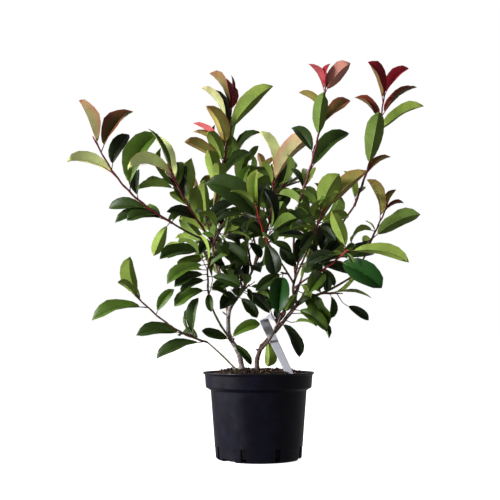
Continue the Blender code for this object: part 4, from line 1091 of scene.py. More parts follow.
YOUNG = "OBRCPQY"
VEINS = 8
VEIN_SLANT = 0.42
VEIN_WIDTH = 0.12
VEIN_SHARE = 0.12
VEIN_LIGHT = 1.6
MOTTLE = (0.82, 1.16)
UPPER_ROUGH = (0.34, 0.50)
UNDER_ROUGH = (0.55, 0.72)


def leaf_finish(kind, name, colour, upper):
    """A leaf's side: mottled colour, paler side veins, a flushed margin, uneven gloss and relief."""
    flush = FLUSHED.get(kind, 0.0)
    finish = Finish(name, 0.5, specular=0.20 if upper else 0.15)
    uv = finish.add("TexCoord").outputs["UV"]
    parts = finish.add("SeparateXYZ", {0: uv})
    aside = finish.math("ABSOLUTE", finish.math("SUBTRACT", parts.outputs["X"], 0.5))
    climb = finish.math("SUBTRACT", parts.outputs["Y"], finish.math("MULTIPLY", aside, VEIN_SLANT))
    wave = finish.math("PINGPONG", finish.math("MULTIPLY", climb, VEINS), 0.5)
    vein = finish.ramp(wave, 0.0, VEIN_WIDTH, 1.0, 0.0)
    mottle = finish.ramp(finish.noise(38, 3), 0.34, 0.68)
    base = finish.mix(mottle, *(shade(colour, factor) for factor in MOTTLE))
    base = finish.mix(finish.math("MULTIPLY", vein, VEIN_SHARE), base, shade(colour, VEIN_LIGHT))
    if flush:
        margin = finish.ramp(aside, 0.18, 0.50)
        point = finish.ramp(parts.outputs["Y"], 0.60, 1.0)
        reach = finish.math("MULTIPLY", finish.math("MAXIMUM", margin, point), flush)
        base = finish.mix(reach, base, PALE_FLUSH if kind in PALE_FLUSHED else FLUSH)
    finish.colour(base)
    rough = UPPER_ROUGH if upper else UNDER_ROUGH
    finish.gloss(finish.ramp(finish.noise(70, 2), 0.3, 0.7, *rough))
    sunk = finish.math("MULTIPLY", vein, -1.0 if upper else 1.0)
    relief = finish.math("ADD", sunk, finish.math("MULTIPLY", finish.noise(260, 2), 0.6))
    finish.bump(relief, 0.16, 0.0005)
    return finish.material


upper_finish = {letter: leaf_finish(letter, *entry, True) for letter, entry in UPPER.items()}
under_finish = {kind: leaf_finish(kind, *entry, False) for kind, entry in UNDER.items()}


def stalk_finish(name, colour):
    """A leaf stalk or midrib: smooth, faintly streaked, with a dull shine."""
    finish = Finish(name, 0.45, specular=0.35)
    finish.colour(finish.mix(finish.noise(180, 2), shade(colour, 0.65), shade(colour, 1.25)))
    finish.bump(finish.noise(600, 2), 0.2, 0.0004)
    return finish.material


stalk_red = stalk_finish("stalk_red", srgb(150, 34, 44))
stalk_maroon = stalk_finish("stalk_maroon", srgb(104, 40, 38))
rib_pale = stalk_finish("midrib_pale", srgb(128, 146, 66))
rib_red = stalk_finish("midrib_red", srgb(160, 60, 56))
print(len(upper_finish), "upper colours,", len(under_finish), "under colours")

# %% [markdown]
# ## The blades and stalks
#
# A blade could be a flat cut-out, but then it shows as a line when it turns its edge. Here it is a
# closed thin body: an upper skin of four strips, two on each side of the midrib, and an under skin
# that shares its margin. All leaves of a shoot are worked out in one go as an array: leaf by leaf,
# row by row along the midrib, point by point across. The margin is creased, so the two sides keep
# their own shading, and so is the midrib, where the leaf is folded.

# %% Leaf surfaces as arrays
BLADE_ROWS = np.array((0.04, 0.15, 0.29, 0.44, 0.59, 0.74, 0.87, 0.96))
ACROSS = np.array((-1.0, -0.5, 0.0, 0.5, 1.0))
BLADE_THICKNESS = 0.00045
BULGE = 0.13
GROWN_FOLD = 1.25
YOUNG_FOLD = 1.75
BITTEN = 0.25
BITTEN_TINTS = "MDV"
BITE = (0.55, 0.85)
UNEVEN = (0.96, 1.04)
TWIST = (-0.4, 0.4)
UNTWISTED = 0.3
SWAY = (-0.035, 0.035)
TAPER = (0.44, 0.70)
RIPPLE = (0.03, 0.13)
RIPPLES = 1.4
RIPPLE_LAG = 0.31
TIP_RECURVE = 0.05
RECURVE_FROM = 0.55
FOOT_POWER = 0.72
TIP_CLOSES = 0.045
STALK_SIDES = 3
STALK_ROWS = np.array((-1.0, 0.0, 0.25, 0.55, 0.88))
STALK_RADII = np.array((1.30, 0.98, 0.66, 0.42, 0.18)) / 1000
STALK_LEAF = 0.075  # the length of the leaf whose stalk has just these radii
STALK_SINK = 0.55


def blade_width(share, taper):
    """Half the width against the widest, which lies past the middle.

    It grows as the share to the power foot and falls as the rest to the power taper, divided by the
    most that this product reaches. A low taper gives a round tip, a high one a pointed tip. The
    last bit closes quickly.
    """
    foot = FOOT_POWER
    most = (foot / (foot + taper)) ** foot * (taper / (foot + taper)) ** taper
    return share**foot * (1 - share) ** taper / most * (1 - np.exp(-(1 - share) / TIP_CLOSES))


class LeafArrays:
    """The values of many leaves as arrays, and the frame of each midrib at given shares of it.

    bite is the share of its width that the blade keeps at each row and column: nearly all of it,
    but for one place on some of the old leaves.
    """

    def __init__(self, leaves, letters, chance):
        self.count = len(leaves)
        self.folded = np.where([k in YOUNG for k in letters], YOUNG_FOLD, GROWN_FOLD)
        self.foot = np.array([leaf.foot for leaf in leaves])
        self.direction = np.array([leaf.direction for leaf in leaves])
        self.bow = np.array([leaf.bow for leaf in leaves])
        for key in ("length", "stalk", "turn", "half_width", "fold", "curl"):
            setattr(self, key, np.array([getattr(leaf, key) for leaf in leaves]))
        self.twist = chance.uniform(*TWIST, self.count)
        self.sway = chance.uniform(*SWAY, self.count)
        self.taper = chance.uniform(*TAPER, self.count)
        self.wave = chance.uniform(*RIPPLE, self.count)
        self.phase = chance.uniform(0, 1, self.count)
        self.bite = np.ones((self.count, len(BLADE_ROWS), len(ACROSS)))
        likely = np.where([k in BITTEN_TINTS for k in letters], BITTEN, 0.0)
        for rank in np.flatnonzero(chance.uniform(0, 1, self.count) < likely):
            margin = slice(0, 2) if chance.uniform() < 0.5 else slice(3, 5)
            self.bite[rank, chance.integers(2, len(BLADE_ROWS)), margin] = chance.uniform(*BITE)
        self.bite *= chance.uniform(*UNEVEN, self.bite.shape)

    def frame(self, shares):
        """Midrib points, upper normals and right-hand sides, leaf by row by 3.

        Along the arc the midrib has gone sin(bend) / curl ahead and (1 - cos(bend)) / curl back,
        times the blade's length. Its upper normal is turned about it by the leaf's turn and by a
        twist that grows evenly from foot to tip. The midrib also sways aside by half
        a sine wave, and its last part bends further down, with the square of the way.
        """
        bend = self.curl[:, None] * shares
        ahead = np.sin(bend) / self.curl[:, None] * self.length[:, None]
        back = (1 - np.cos(bend)) / self.curl[:, None] * self.length[:, None]
        base = self.foot + self.direction * self.stalk[:, None]
        direction, bow = self.direction[:, None], self.bow[:, None]
        points = base[:, None] + direction * ahead[..., None] - bow * back[..., None]
        along = direction * np.cos(bend)[..., None] - bow * np.sin(bend)[..., None]
        upper = direction * np.sin(bend)[..., None] + bow * np.cos(bend)[..., None]
        turn = (self.turn[:, None] + self.twist[:, None] * (shares - UNTWISTED))[..., None]
        upper = upper * np.cos(turn) + np.cross(along, upper) * np.sin(turn)
        side = np.cross(along, upper)
        bent = TIP_RECURVE * np.maximum(0.0, (shares - RECURVE_FROM) / (1 - RECURVE_FROM)) ** 2
        aside = self.sway[:, None] * np.sin(np.pi * shares)
        points = points + (side * aside[..., None] - upper * bent[:, None]) * self.length[:, None, None]
        return points, upper, side


# %% The blades
def blades(arrays):
    """Points, quads, tris, slots, UV and crease numbers of all blades. Slot 0 is upper, 1 is under.

    A point across the blade lies at s times the half width, folded up by the fold angle, swollen by
    a half sine between midrib and margin, and lifted by a slow wave that grows with s squared. Here
    and there an insect has bitten the margin back.
    """
    rows, columns = len(BLADE_ROWS), len(ACROSS)
    middle, upper, side = arrays.frame(BLADE_ROWS)
    width = (arrays.half_width[:, None] * blade_width(BLADE_ROWS, arrays.taper[:, None]))[..., None]
    s = ACROSS[None, None, :]
    fold = (arrays.folded * arrays.fold)[:, None, None]
    phase = arrays.phase[:, None, None] + RIPPLE_LAG * np.sign(s)
    wave = arrays.wave[:, None, None] * np.sin(2 * np.pi * (RIPPLES * BLADE_ROWS[None, :, None] + phase))
    width = width * arrays.bite
    reach = s * width * np.cos(fold)
    rise = width * (np.abs(s) * np.sin(fold) + BULGE * np.sin(np.pi * np.abs(s)) + wave * s**2)
    top = middle[:, :, None] + side[:, :, None] * reach[..., None] + upper[:, :, None] * rise[..., None]
    below = middle - upper * BLADE_THICKNESS
    ends, end_upper, _ = arrays.frame(np.array((0.0, 1.0)))
    ends = ends - end_upper * (BLADE_THICKNESS / 2)
    points = np.concatenate([top.reshape(arrays.count, -1, 3), below, ends], axis=1)
    v = np.concatenate([np.repeat(BLADE_ROWS, columns), BLADE_ROWS, (0.0, 1.0)])
    u = np.concatenate([np.tile(0.5 + 0.5 * ACROSS, rows), np.full(rows + 2, 0.5)])
    crease = np.concatenate([np.tile((1, 0, 2, 0, 1), rows), np.full(rows, 3), (0, 0)])

    grid = np.arange(rows * columns).reshape(rows, columns)
    keel = rows * columns + np.arange(rows)
    foot, tip = rows * columns + rows, rows * columns + rows + 1
    upper_quads = grid_quads(rows, columns, False)
    under_quads = np.concatenate([
        np.stack([keel[:-1], grid[:-1, 0], grid[1:, 0], keel[1:]], axis=-1),
        np.stack([grid[:-1, -1], keel[:-1], keel[1:], grid[1:, -1]], axis=-1),
    ])
    upper_tris = np.concatenate([
        np.stack([np.full(columns - 1, foot), grid[0, 1:], grid[0, :-1]], axis=-1),
        np.stack([grid[-1, :-1], grid[-1, 1:], np.full(columns - 1, tip)], axis=-1),
    ])
    under_tris = np.array([
        (foot, grid[0, 0], keel[0]), (foot, keel[0], grid[0, -1]),
        (grid[-1, 0], tip, keel[-1]), (tip, grid[-1, -1], keel[-1]),
    ])
    quads = np.concatenate([upper_quads, under_quads])
    tris = np.concatenate([upper_tris, under_tris])
    quad_slots = np.repeat((0, 1), (len(upper_quads), len(under_quads)))
    tri_slots = np.repeat((0, 1), (len(upper_tris), len(under_tris)))
    return points, quads, tris, quad_slots, tri_slots, np.stack([u, v], axis=-1), crease


# %% The stalks and midribs
def stalks(arrays):
    """Three-sided stalks that go on as midribs: they stand out below, and just show above.

    The rows below 0 are shares of the stalk, down from the blade's foot. The ring's centre lies
    under the upper skin by just over half the radius, and the radius grows with the root of the
    blade's length.
    """
    blade_rows = np.maximum(STALK_ROWS, 0.0)
    middle, upper, side = arrays.frame(blade_rows)
    down = np.minimum(STALK_ROWS, 0.0)[None, :, None] * arrays.stalk[:, None, None]
    middle = middle + arrays.direction[:, None] * down
    scale = np.sqrt(arrays.length / STALK_LEAF)[:, None] * STALK_RADII[None, :]
    middle = middle - upper * (STALK_SINK * scale * (STALK_ROWS > 0))[..., None]
    turn = np.pi / 2 + 2 * np.pi * np.arange(STALK_SIDES) / STALK_SIDES
    out = side[:, :, None] * np.cos(turn)[:, None] + upper[:, :, None] * np.sin(turn)[:, None]
    rings = middle[:, :, None] + out * scale[..., None, None]
    points = rings.reshape(arrays.count, -1, 3)
    quads = grid_quads(len(STALK_ROWS), STALK_SIDES, True)[:, ::-1]
    last = STALK_SIDES * (len(STALK_ROWS) - 1)
    tris = np.array([(0, 1, 2), (last + 2, last + 1, last)])
    slots = (np.arange(len(quads)) >= STALK_SIDES).astype(int)
    return points, quads, tris, slots


# %% The leaves of a shoot as one piece
def offset_faces(faces, count, stride):
    """The same faces for each of count copies, whose points come stride apart."""
    return (faces[None] + (stride * np.arange(count))[:, None, None]).reshape(-1, faces.shape[1])


def leaves_piece(name, group, nodes):
    """One piece for a group of leaves: blades in their colours, stalks and midribs."""
    chance = np.random.default_rng(len(name) * 1000 + len(group))
    letters = [item.tint for item in group]
    young = np.array([letter in YOUNG for letter in letters])
    arrays = LeafArrays([item.leaf for item in group], letters, chance)
    uppers = sorted(set(letters))
    unders = sorted({UNDER_OF[letter] for letter in letters})
    materials = [upper_finish[letter] for letter in uppers] + [under_finish[key] for key in unders]
    upper_slot = np.array([uppers.index(letter) for letter in letters])
    under_slot = np.array([len(uppers) + unders.index(UNDER_OF[letter]) for letter in letters])
    stalk_first = len(materials)
    materials += [stalk_red, stalk_maroon, rib_pale, rib_red]

    points, quads, tris, quad_kind, tri_kind, uv, crease = blades(arrays)
    stride, count = points.shape[1], arrays.count
    pick = np.stack([upper_slot, under_slot], axis=-1)
    blade_quads = offset_faces(quads, count, stride)
    blade_tris = offset_faces(tris, count, stride)
    blade_quad_slots = pick[:, quad_kind].reshape(-1)
    blade_tri_slots = pick[:, tri_kind].reshape(-1)

    rods, rod_quads, rod_tris, rod_kind = stalks(arrays)
    shift = count * stride
    stalk_slot = np.where(young, stalk_first, stalk_first + 1)
    rib_slot = np.where(young, stalk_first + 3, stalk_first + 2)
    rods_pick = np.stack([stalk_slot, rib_slot], axis=-1)
    all_points = np.concatenate([points.reshape(-1, 3), rods.reshape(-1, 3)])
    all_quads = np.concatenate([blade_quads, offset_faces(rod_quads, count, rods.shape[1]) + shift])
    all_tris = np.concatenate([blade_tris, offset_faces(rod_tris, count, rods.shape[1]) + shift])
    quad_slots = np.concatenate([blade_quad_slots, rods_pick[:, rod_kind].reshape(-1)])
    tri_slots = np.concatenate([blade_tri_slots, rods_pick.reshape(-1)])
    rod_points = rods.shape[0] * rods.shape[1]
    all_uv = np.concatenate([np.tile(uv, (count, 1)), np.full((rod_points, 2), 0.5)])
    creases = np.concatenate([np.tile(crease, count), np.zeros(rod_points, int)])
    piece = make_piece(name, all_points, all_quads, all_tris, materials, quad_slots, tri_slots,
                       all_uv, creases)
    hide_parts(*nodes)
    return piece


# %% Leaves, one piece for each shoot
leaf_total = 0
for name, group in grown.items():
    leaves_piece(name.replace("foliage", "leaves"), group, [name])
    leaf_total += len(group)
print("leaves:", leaf_total)

# %% [markdown]
# ## Bark
#
# The older trunk on the left is pale grey and slightly cracked, the right one is brown and still
# smooth, and the outer boughs are red-brown, because their wood is young. A stem has a small
# swelling with a leaf scar wherever a leaf once stood, and a collar where it forks. Each limb is a
# tube with a ring every three millimetres, and these marks are added to its radius.

# %% Bark finishes
def bark_finish(name, colour, pale, dark, rough):
    """Bark: patches of a paler skin, dark cracks along the stem, and pores."""
    finish = Finish(name, rough, specular=0.3)
    stretched = finish.add("Mapping", {"Vector": finish.place, "Scale": (1.0, 1.0, 0.22)}).outputs[0]
    patches = finish.ramp(finish.noise(130, 4, 0.6), 0.42, 0.62)
    cracks = finish.ramp(finish.noise(620, 3, 0.7, stretched), 0.30, 0.46)
    base = finish.mix(patches, colour, pale)
    base = finish.mix(cracks, dark, base)
    pores = finish.ramp(finish.cells(420), 0.05, 0.16)
    finish.colour(finish.mix(pores, shade(colour, 1.5), base))
    finish.gloss(finish.ramp(patches, 0.0, 1.0, rough - 0.15, rough))
    relief = finish.math("ADD", cracks, finish.math("MULTIPLY", finish.noise(900, 3), 0.6))
    finish.bump(relief, 0.7, 0.0008)
    return finish.material


BARKS = {
    "grey": bark_finish("bark_grey", srgb(132, 118, 116), srgb(198, 188, 196), srgb(66, 50, 46), 0.75),
    "brown": bark_finish("bark_brown", srgb(58, 40, 35), srgb(98, 76, 68), srgb(32, 22, 20), 0.75),
    "olive": bark_finish("bark_olive", srgb(118, 106, 84), srgb(166, 156, 132), srgb(60, 48, 36), 0.75),
    "young": bark_finish("bark_young", srgb(84, 52, 42), srgb(112, 80, 58), srgb(56, 30, 28), 0.6),
}
BARK_OF = {
    "trunk_left": "grey", "bough_left": "grey", "stem_low_left": "olive", "bough_left_thin": "olive",
    "bough_left_high": "olive", "trunk_right": "brown", "bough_right": "brown",
    "bough_right_inner": "brown", "bough_right_fork": "brown", "bough_middle": "brown",
}
print("barks:", ", ".join(BARKS))

# %% Limbs with relief
BARK_SIDES = 16
BARK_SPACING = 0.003
BARK_LOBES = (1, 2, 3, 4, 5)
LOBE_RISE = 0.028
LOBE_PITCH = (60, 420)
GRAIN_RISE = 0.03
NODE_SPACING = 0.021
NODE_SLIP = (-0.2, 0.2)
NODE_HALF = 0.0022
NODE_RISE = 0.09
SCAR_RISE = 0.16
COLLAR = 0.006
COLLAR_RISE = 0.5
STUB_PROFILE = np.array((1, 1, 1, 0.92, 1.0, 1.08, 0.6))
STUB_SIDES = 10
STUB_GRAIN = 0.08

# Stubs and knobs left by lost shoots: the limb and how far along it, which way it points, its
# length and its radius at both ends
STUBS = (
    ("bough_left", 0.60, (-0.75, -0.30, 0.60), 0.013, 0.0020, 0.0013),
    ("bough_left", 0.55, (-0.20, -0.60, 0.20), 0.003, 0.0034, 0.0026),
    ("bough_left", 0.98, (0.00, -0.35, 1.00), 0.030, 0.0014, 0.0006),
    ("bough_middle", 0.78, (0.70, -0.30, 0.60), 0.010, 0.0013, 0.0008),
    ("trunk_left", 0.90, (0.70, -0.60, 0.30), 0.004, 0.0036, 0.0024),
    ("trunk_right", 0.80, (-0.80, -0.30, 0.50), 0.004, 0.0028, 0.0020),
    ("bough_right", 0.22, (0.10, -0.80, 0.60), 0.005, 0.0026, 0.0016),
    ("bough_right", 0.46, (-0.70, -0.50, 0.50), 0.011, 0.0022, 0.0015),
)


def bark_relief(limb, path, chance, forked):
    """How far the bark stands out at each ring and side, from the limb's own radius.

    Slow waves round and along the limb, a swelling every two centimetres that is highest on the
    side where the leaf stood, and a collar that dies away from the foot of a limb that forks off.
    """
    along = np.concatenate([[0], np.cumsum(np.linalg.norm(np.diff(path, axis=0), axis=1))])[:, None]
    turn = np.linspace(0, 2 * np.pi, BARK_SIDES, endpoint=False)[None, :]
    radius = limb.radii(np.linspace(0, 1, len(path)))[:, None]
    relief = np.zeros((len(path), BARK_SIDES))
    for lobes in BARK_LOBES:
        pitch = chance.uniform(*LOBE_PITCH) / lobes**0.5
        relief += radius * LOBE_RISE * np.sin(lobes * turn + pitch * along + chance.uniform(0, 6.3))
    relief += radius * GRAIN_RISE * chance.uniform(-1, 1, relief.shape)
    for rank in range(1, int(along[-1, 0] / NODE_SPACING)):
        place = (rank + chance.uniform(*NODE_SLIP)) * NODE_SPACING
        bump = np.exp(-((along - place) / NODE_HALF) ** 2)
        scar = np.maximum(0, np.cos(turn - rank * SPIRAL)) ** 3
        relief += radius * bump * (NODE_RISE + SCAR_RISE * scar)
    if forked:
        relief += radius * COLLAR_RISE * np.exp(-along / COLLAR)
    return relief


def bark_slot(name):
    """The number of the limb's bark among the piece's materials."""
    return list(BARKS).index(BARK_OF.get(name, "young"))


chance = np.random.default_rng(12)
parts = []
for name, limb in limbs.items():
    shares = np.linspace(0, 1, max(8, round(limb.length() / BARK_SPACING)))
    path = limb.path(shares)
    relief = bark_relief(limb, path, chance, LIMBS[name][0] is not None)
    parts.append((*tube(path, limb.radii(shares), BARK_SIDES, relief), bark_slot(name)))
for name, share, heading, length, radius, tip_radius in STUBS:
    start, heading = np.array(limbs[name].point(share)), unit(np.array(heading))
    way = np.linspace(0, 1, len(STUB_PROFILE))
    path = start + np.outer(way * (length + limbs[name].radius_at(share)), heading)
    radii = (radius + (tip_radius - radius) * way) * STUB_PROFILE
    grain = STUB_GRAIN * radius * chance.uniform(-1, 1, (len(way), STUB_SIDES))
    parts.append((*tube(path, radii, STUB_SIDES, grain), bark_slot(name)))
points, quads, tris, quad_slots, tri_slots = join_parts(parts)
bark = make_piece("bark", points, quads, tris, list(BARKS.values()), quad_slots, tri_slots)
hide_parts(*LIMBS)
print("bark quads:", len(bark.data.polygons))

# %% [markdown]
# ## Twigs
#
# A shoot's own stem is smooth, red while it is young and brown later, with slight knees less than
# two centimetres apart, as where leaves stand, and a pointed bud at its tip. It could be a straight
# cone, but a tube along a path that sways from knee to knee costs nothing more and looks grown.

# %% Stems of the shoots
TWIG_SIDES = 8
SIDE_TWIG_SIDES = 5
TWIG_SPACING = 0.0045
KNEE_SPACING = 0.017
KNEE_SWAY = 0.0007
KNEE_RISE = 0.20
STEM_THICKER = 1.45
BUD_LENGTH = 0.007
BUD_SIDES = 6
BUD_RADII = 0.0015 * np.array((0.6, 1.0, 1.05, 0.7, 0.2))
BRIGHT_STEMS = ("foliage_right_low", "foliage_front")
twig_red = stalk_finish("twig_red", srgb(152, 42, 42))
twig_maroon = stalk_finish("twig_maroon", srgb(102, 36, 44))
twig_brown = stalk_finish("twig_brown", srgb(76, 46, 38))
bud_scales = stalk_finish("bud_scales", srgb(140, 62, 44))


def stem_tube(stem, thicker, sides):
    """A stem that sways a little from knee to knee, with a swelling at each knee.

    The sway is a sine wave of one length in two directions, so the stem turns as it climbs.
    """
    shares = np.linspace(0, 1, max(6, round(stem.length() / TWIG_SPACING)))
    way = shares * stem.length() / KNEE_SPACING
    knees = 1 + KNEE_RISE * np.cos(np.pi * way) ** 12
    sway = KNEE_SWAY * np.sin(np.pi * shares) ** 0.5
    aside = np.stack([sway * np.sin(np.pi * way), 0 * way, 0.6 * sway * np.cos(np.pi * way)], axis=-1)
    return tube(stem.path(shares) + aside, thicker * stem.radii(shares) * knees, sides)


def bud(stem):
    """A pointed bud on the tip of a stem."""
    tip, ahead = np.array(stem.point(1.0)), np.array(stem.tangent(1.0))
    shares = np.linspace(0, 1, len(BUD_RADII))[:, None]
    return tube(tip + ahead * BUD_LENGTH * shares, BUD_RADII, BUD_SIDES)


parts = []
for name, stem in stems.items():
    slot = 0 if name in BRIGHT_STEMS else 1 if set(TINTS[name][0]) & set(YOUNG) else 2
    parts.append((*stem_tube(stem, STEM_THICKER, TWIG_SIDES), slot))
    parts.append((*bud(stem), 3))
for name, twig in side_twigs:
    parts.append((*stem_tube(twig, 1.0, SIDE_TWIG_SIDES), 2))
points, quads, tris, quad_slots, tri_slots = join_parts(parts)
twig_kinds = [twig_red, twig_maroon, twig_brown, bud_scales]
twigs = make_piece("twigs", points, quads, tris, twig_kinds, quad_slots, tri_slots)
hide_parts(*SHOOTS)
print("stems:", len(stems), "side twigs:", len(side_twigs))

# %% [markdown]
# ## The nursery pot
#
# The pot is moulded from black plastic with a satin shine: a body that widens upwards, a deeper
# band at the rim with a thin lip, drain slots round its foot and three low arches under it. A
# turned profile makes the shell. Its corners are rounded first, because a sharp edge catches no
# light, and then the slots and arches are cut with Booleans, as the mould's cores leave them. A
# small step runs round the body, just below the tops of the slots.

# %% A turned shell with soft corners
POT_HEIGHT = 0.173
BASE_RADIUS = 0.0868
BASE_CHAMFER = 0.0033
STEP_FOOT = (0.0014, 0.0230)
STEP_TOP = (0.0019, 0.0236)
BODY_TOP_RADIUS = 0.0975
BAND_FOOT = 0.1365
BAND_SLOPE = 0.006
BAND_LOW_RADIUS = 0.1075
BAND_RADIUS = 0.1095
LIP_RADIUS = 0.1130
LIP_DEPTH = 0.0025
LIP_ROOT = 2.1 * LIP_DEPTH
CORNER_CUT = 0.0011
WALL = 0.0018
FLOOR = 0.0030
SLOT_COUNT = 8
SLOT_WIDTH = 0.011
SLOT_TOP = 0.027
SLOT_BITE = 0.0035
SLOT_TURN = math.radians(2)
ARCH_COUNT = 3
ARCH_TURN = math.radians(-45)
ARCH_HALF_ANGLE = math.radians(12)
ARCH_HEIGHT = 0.0055
ARCH_DEPTH = 0.013
OVERCUT = 0.010
POT_SEGMENTS = 160
POT_CREASE = math.radians(32)


def soften(corners, cut, steps=4):
    """A profile whose inner corners are rounded.

    Each corner gives way to a curve that leaves one side at the cut distance and joins the next at
    the same distance: (1 - t) squared of the start, 2 t (1 - t) of the corner, t squared of the end.
    """
    corners = np.asarray(corners, float)
    before, here, after = corners[:-2], corners[1:-1], corners[2:]
    room_before = np.linalg.norm(before - here, axis=1)
    room_after = np.linalg.norm(after - here, axis=1)
    reach = np.minimum(cut, 0.45 * np.minimum(room_before, room_after))[:, None]
    start = here + (before - here) / room_before[:, None] * reach
    end = here + (after - here) / room_after[:, None] * reach
    t = np.linspace(0, 1, steps)[None, :, None]
    curve = start[:, None] * (1 - t) ** 2 + here[:, None] * 2 * t * (1 - t) + end[:, None] * t**2
    return np.concatenate([corners[:1], curve.reshape(-1, 2), corners[-1:]])


def turned(profile, segments):
    """A closed surface of revolution about Z. The profile starts and ends on the axis."""
    ring_profile = profile[1:-1]
    turn = 2 * np.pi * np.arange(segments) / segments
    around = np.stack([np.cos(turn), np.sin(turn)], axis=-1)
    flat = ring_profile[:, None, :1] * around[None]
    height = np.broadcast_to(ring_profile[:, None, 1:], (len(ring_profile), segments, 1))
    rings = np.concatenate([flat, height], axis=-1).reshape(-1, 3)
    poles = np.array([(0, 0, profile[0][1]), (0, 0, profile[-1][1])])
    side = np.arange(segments)
    after = (side + 1) % segments
    last = len(rings) - segments
    tris = np.concatenate([
        np.stack([np.full(segments, len(rings)), after, side], axis=1),
        np.stack([last + side, last + after, np.full(segments, len(rings) + 1)], axis=1),
    ])
    return np.concatenate([rings, poles]), grid_quads(len(ring_profile), segments, True), tris


# %% Blocks to cut with
def sector(turn, half_angle, inner, outer, low, high, steps=10):
    """A closed block between two radii and two heights, as far round Z as the half angle."""
    angle = turn + half_angle * np.linspace(-1, 1, steps + 1)
    way = np.stack([np.sin(angle), -np.cos(angle), np.zeros(steps + 1)], axis=-1)
    corners = np.array(((inner, low), (inner, high), (outer, high), (outer, low)))
    points = way[:, None] * corners[None, :, :1] + np.array((0, 0, 1.0)) * corners[None, :, 1:]
    quads = np.concatenate([grid_quads(steps + 1, 4, True), [(3, 2, 1, 0)],
                            [4 * steps + np.arange(4)]])
    block = bpy.data.meshes.new("block")
    block.from_pydata(points.reshape(-1, 3).tolist(), [], quads.tolist())
    block.update()
    return bpy.data.objects.new("block", block)


def cut_or_join(piece, operation, blocks):
    """One Boolean with all the blocks, applied, after which the blocks are gone."""
    tools = bpy.data.collections.new("tools")
    bpy.context.scene.collection.children.link(tools)
    for block in blocks:
        tools.objects.link(block)
    boolean = piece.modifiers.new("boolean", "BOOLEAN")
    boolean.operation = operation
    boolean.operand_type = "COLLECTION"
    boolean.collection = tools
    with bpy.context.temp_override(object=piece, active_object=piece, selected_objects=[piece]):
        bpy.ops.object.modifier_apply(modifier=boolean.name)
    for block in blocks:
        bpy.data.objects.remove(block)
    bpy.data.collections.remove(tools)


# %% Black plastic
plastic = Finish("pot_plastic", 0.32, specular=0.15)
dust = plastic.ramp(plastic.noise(28, 5, 0.65), 0.45, 0.80)
speck = plastic.ramp(plastic.noise(420, 3, 0.7), 0.60, 0.78)
black = plastic.mix(dust, srgb(7, 6, 16), srgb(16, 16, 33))
plastic.colour(plastic.mix(plastic.math("MULTIPLY", speck, 0.22), black, srgb(66, 60, 54)))
plastic.gloss(plastic.ramp(plastic.noise(60, 4, 0.6), 0.3, 0.75, 0.30, 0.40))
around = plastic.add("Mapping", {"Vector": plastic.place, "Scale": (1.0, 1.0, 9.0)}).outputs[0]
plastic.bump(plastic.noise(70, 3, 0.6, around), 0.16, 0.0012)
print("nodes in the plastic's finish:", len(plastic.tree.nodes))

# %% The pot
outside = [
    (0, 0), (BASE_RADIUS - BASE_CHAMFER, 0), (BASE_RADIUS, BASE_CHAMFER),
    (BASE_RADIUS + STEP_FOOT[0], STEP_FOOT[1]), (BASE_RADIUS + STEP_TOP[0], STEP_TOP[1]),
    (BODY_TOP_RADIUS, BAND_FOOT), (BAND_LOW_RADIUS, BAND_FOOT + BAND_SLOPE),
    (BAND_RADIUS, POT_HEIGHT - LIP_ROOT), (LIP_RADIUS, POT_HEIGHT - LIP_DEPTH), (LIP_RADIUS, POT_HEIGHT),
]
inside = [
    (BAND_RADIUS - WALL, POT_HEIGHT), (BAND_LOW_RADIUS - WALL, BAND_FOOT + BAND_SLOPE + WALL),
    (BODY_TOP_RADIUS - WALL, BAND_FOOT + WALL), (BASE_RADIUS - WALL, FLOOR), (0, FLOOR),
]
shell = turned(soften(outside + inside, CORNER_CUT), POT_SEGMENTS)
pot = make_piece("nursery_pot", *shell, [plastic.material])
arch_places = [ARCH_TURN + 2 * math.pi * i / ARCH_COUNT for i in range(ARCH_COUNT)]
arch_inner = BASE_RADIUS - ARCH_DEPTH
cut_or_join(pot, "UNION", [
    sector(turn, ARCH_HALF_ANGLE + WALL / BASE_RADIUS, arch_inner - WALL, BASE_RADIUS - WALL / 2,
           FLOOR / 2, ARCH_HEIGHT + WALL) for turn in arch_places
])
cut_or_join(pot, "DIFFERENCE", [
    sector(turn, ARCH_HALF_ANGLE, arch_inner, BASE_RADIUS + OVERCUT, -WALL, ARCH_HEIGHT)
    for turn in arch_places
])
cut_or_join(pot, "DIFFERENCE", [
    sector(SLOT_TURN + 2 * math.pi / SLOT_COUNT * (i + 0.5), SLOT_WIDTH / BASE_RADIUS / 2,
           BASE_RADIUS - SLOT_BITE, BASE_RADIUS + OVERCUT, FLOOR + 2 * GAP, SLOT_TOP)
    for i in range(SLOT_COUNT)
])
pot.data.set_sharp_from_angle(angle=POT_CREASE)
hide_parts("pot")
print("pot faces:", len(pot.data.polygons))

# %% [markdown]
# ## Compost
#
# The pot is filled with composted bark: brown crumbs with flecks of moss, and painted shade that
# darkens the fill the lower it lies under the rim. The fill is a turned body whose top is raised
# into lumps by a few layers of noise, and nine hundred chips lie on it, half sunk, each a block with
# its corners pushed about.

# %% The fill
SOIL_CROWN_RADIUS = 0.066
SOIL_EDGE_DROP = 0.012
SOIL_RINGS = 64
SINK = 0.0016
FOOT_RADIUS = 0.070
LUMPS = ((0.030, 0.0020), (0.010, 0.0013), (0.004, 0.0007))  # size across, rise, in metres


def lumps(x, y, chance, size, layers=26):
    """Noise as a sum of waves in random directions, each about size across, from -1 to 1."""
    heading = chance.uniform(0, 2 * np.pi, layers)
    pitch = 2 * np.pi / size * chance.uniform(0.6, 1.6, layers)
    start = chance.uniform(0, 2 * np.pi, layers)
    phase = (x[..., None] * np.cos(heading) + y[..., None] * np.sin(heading)) * pitch + start
    return np.sin(phase).sum(axis=-1) / math.sqrt(2 * layers)


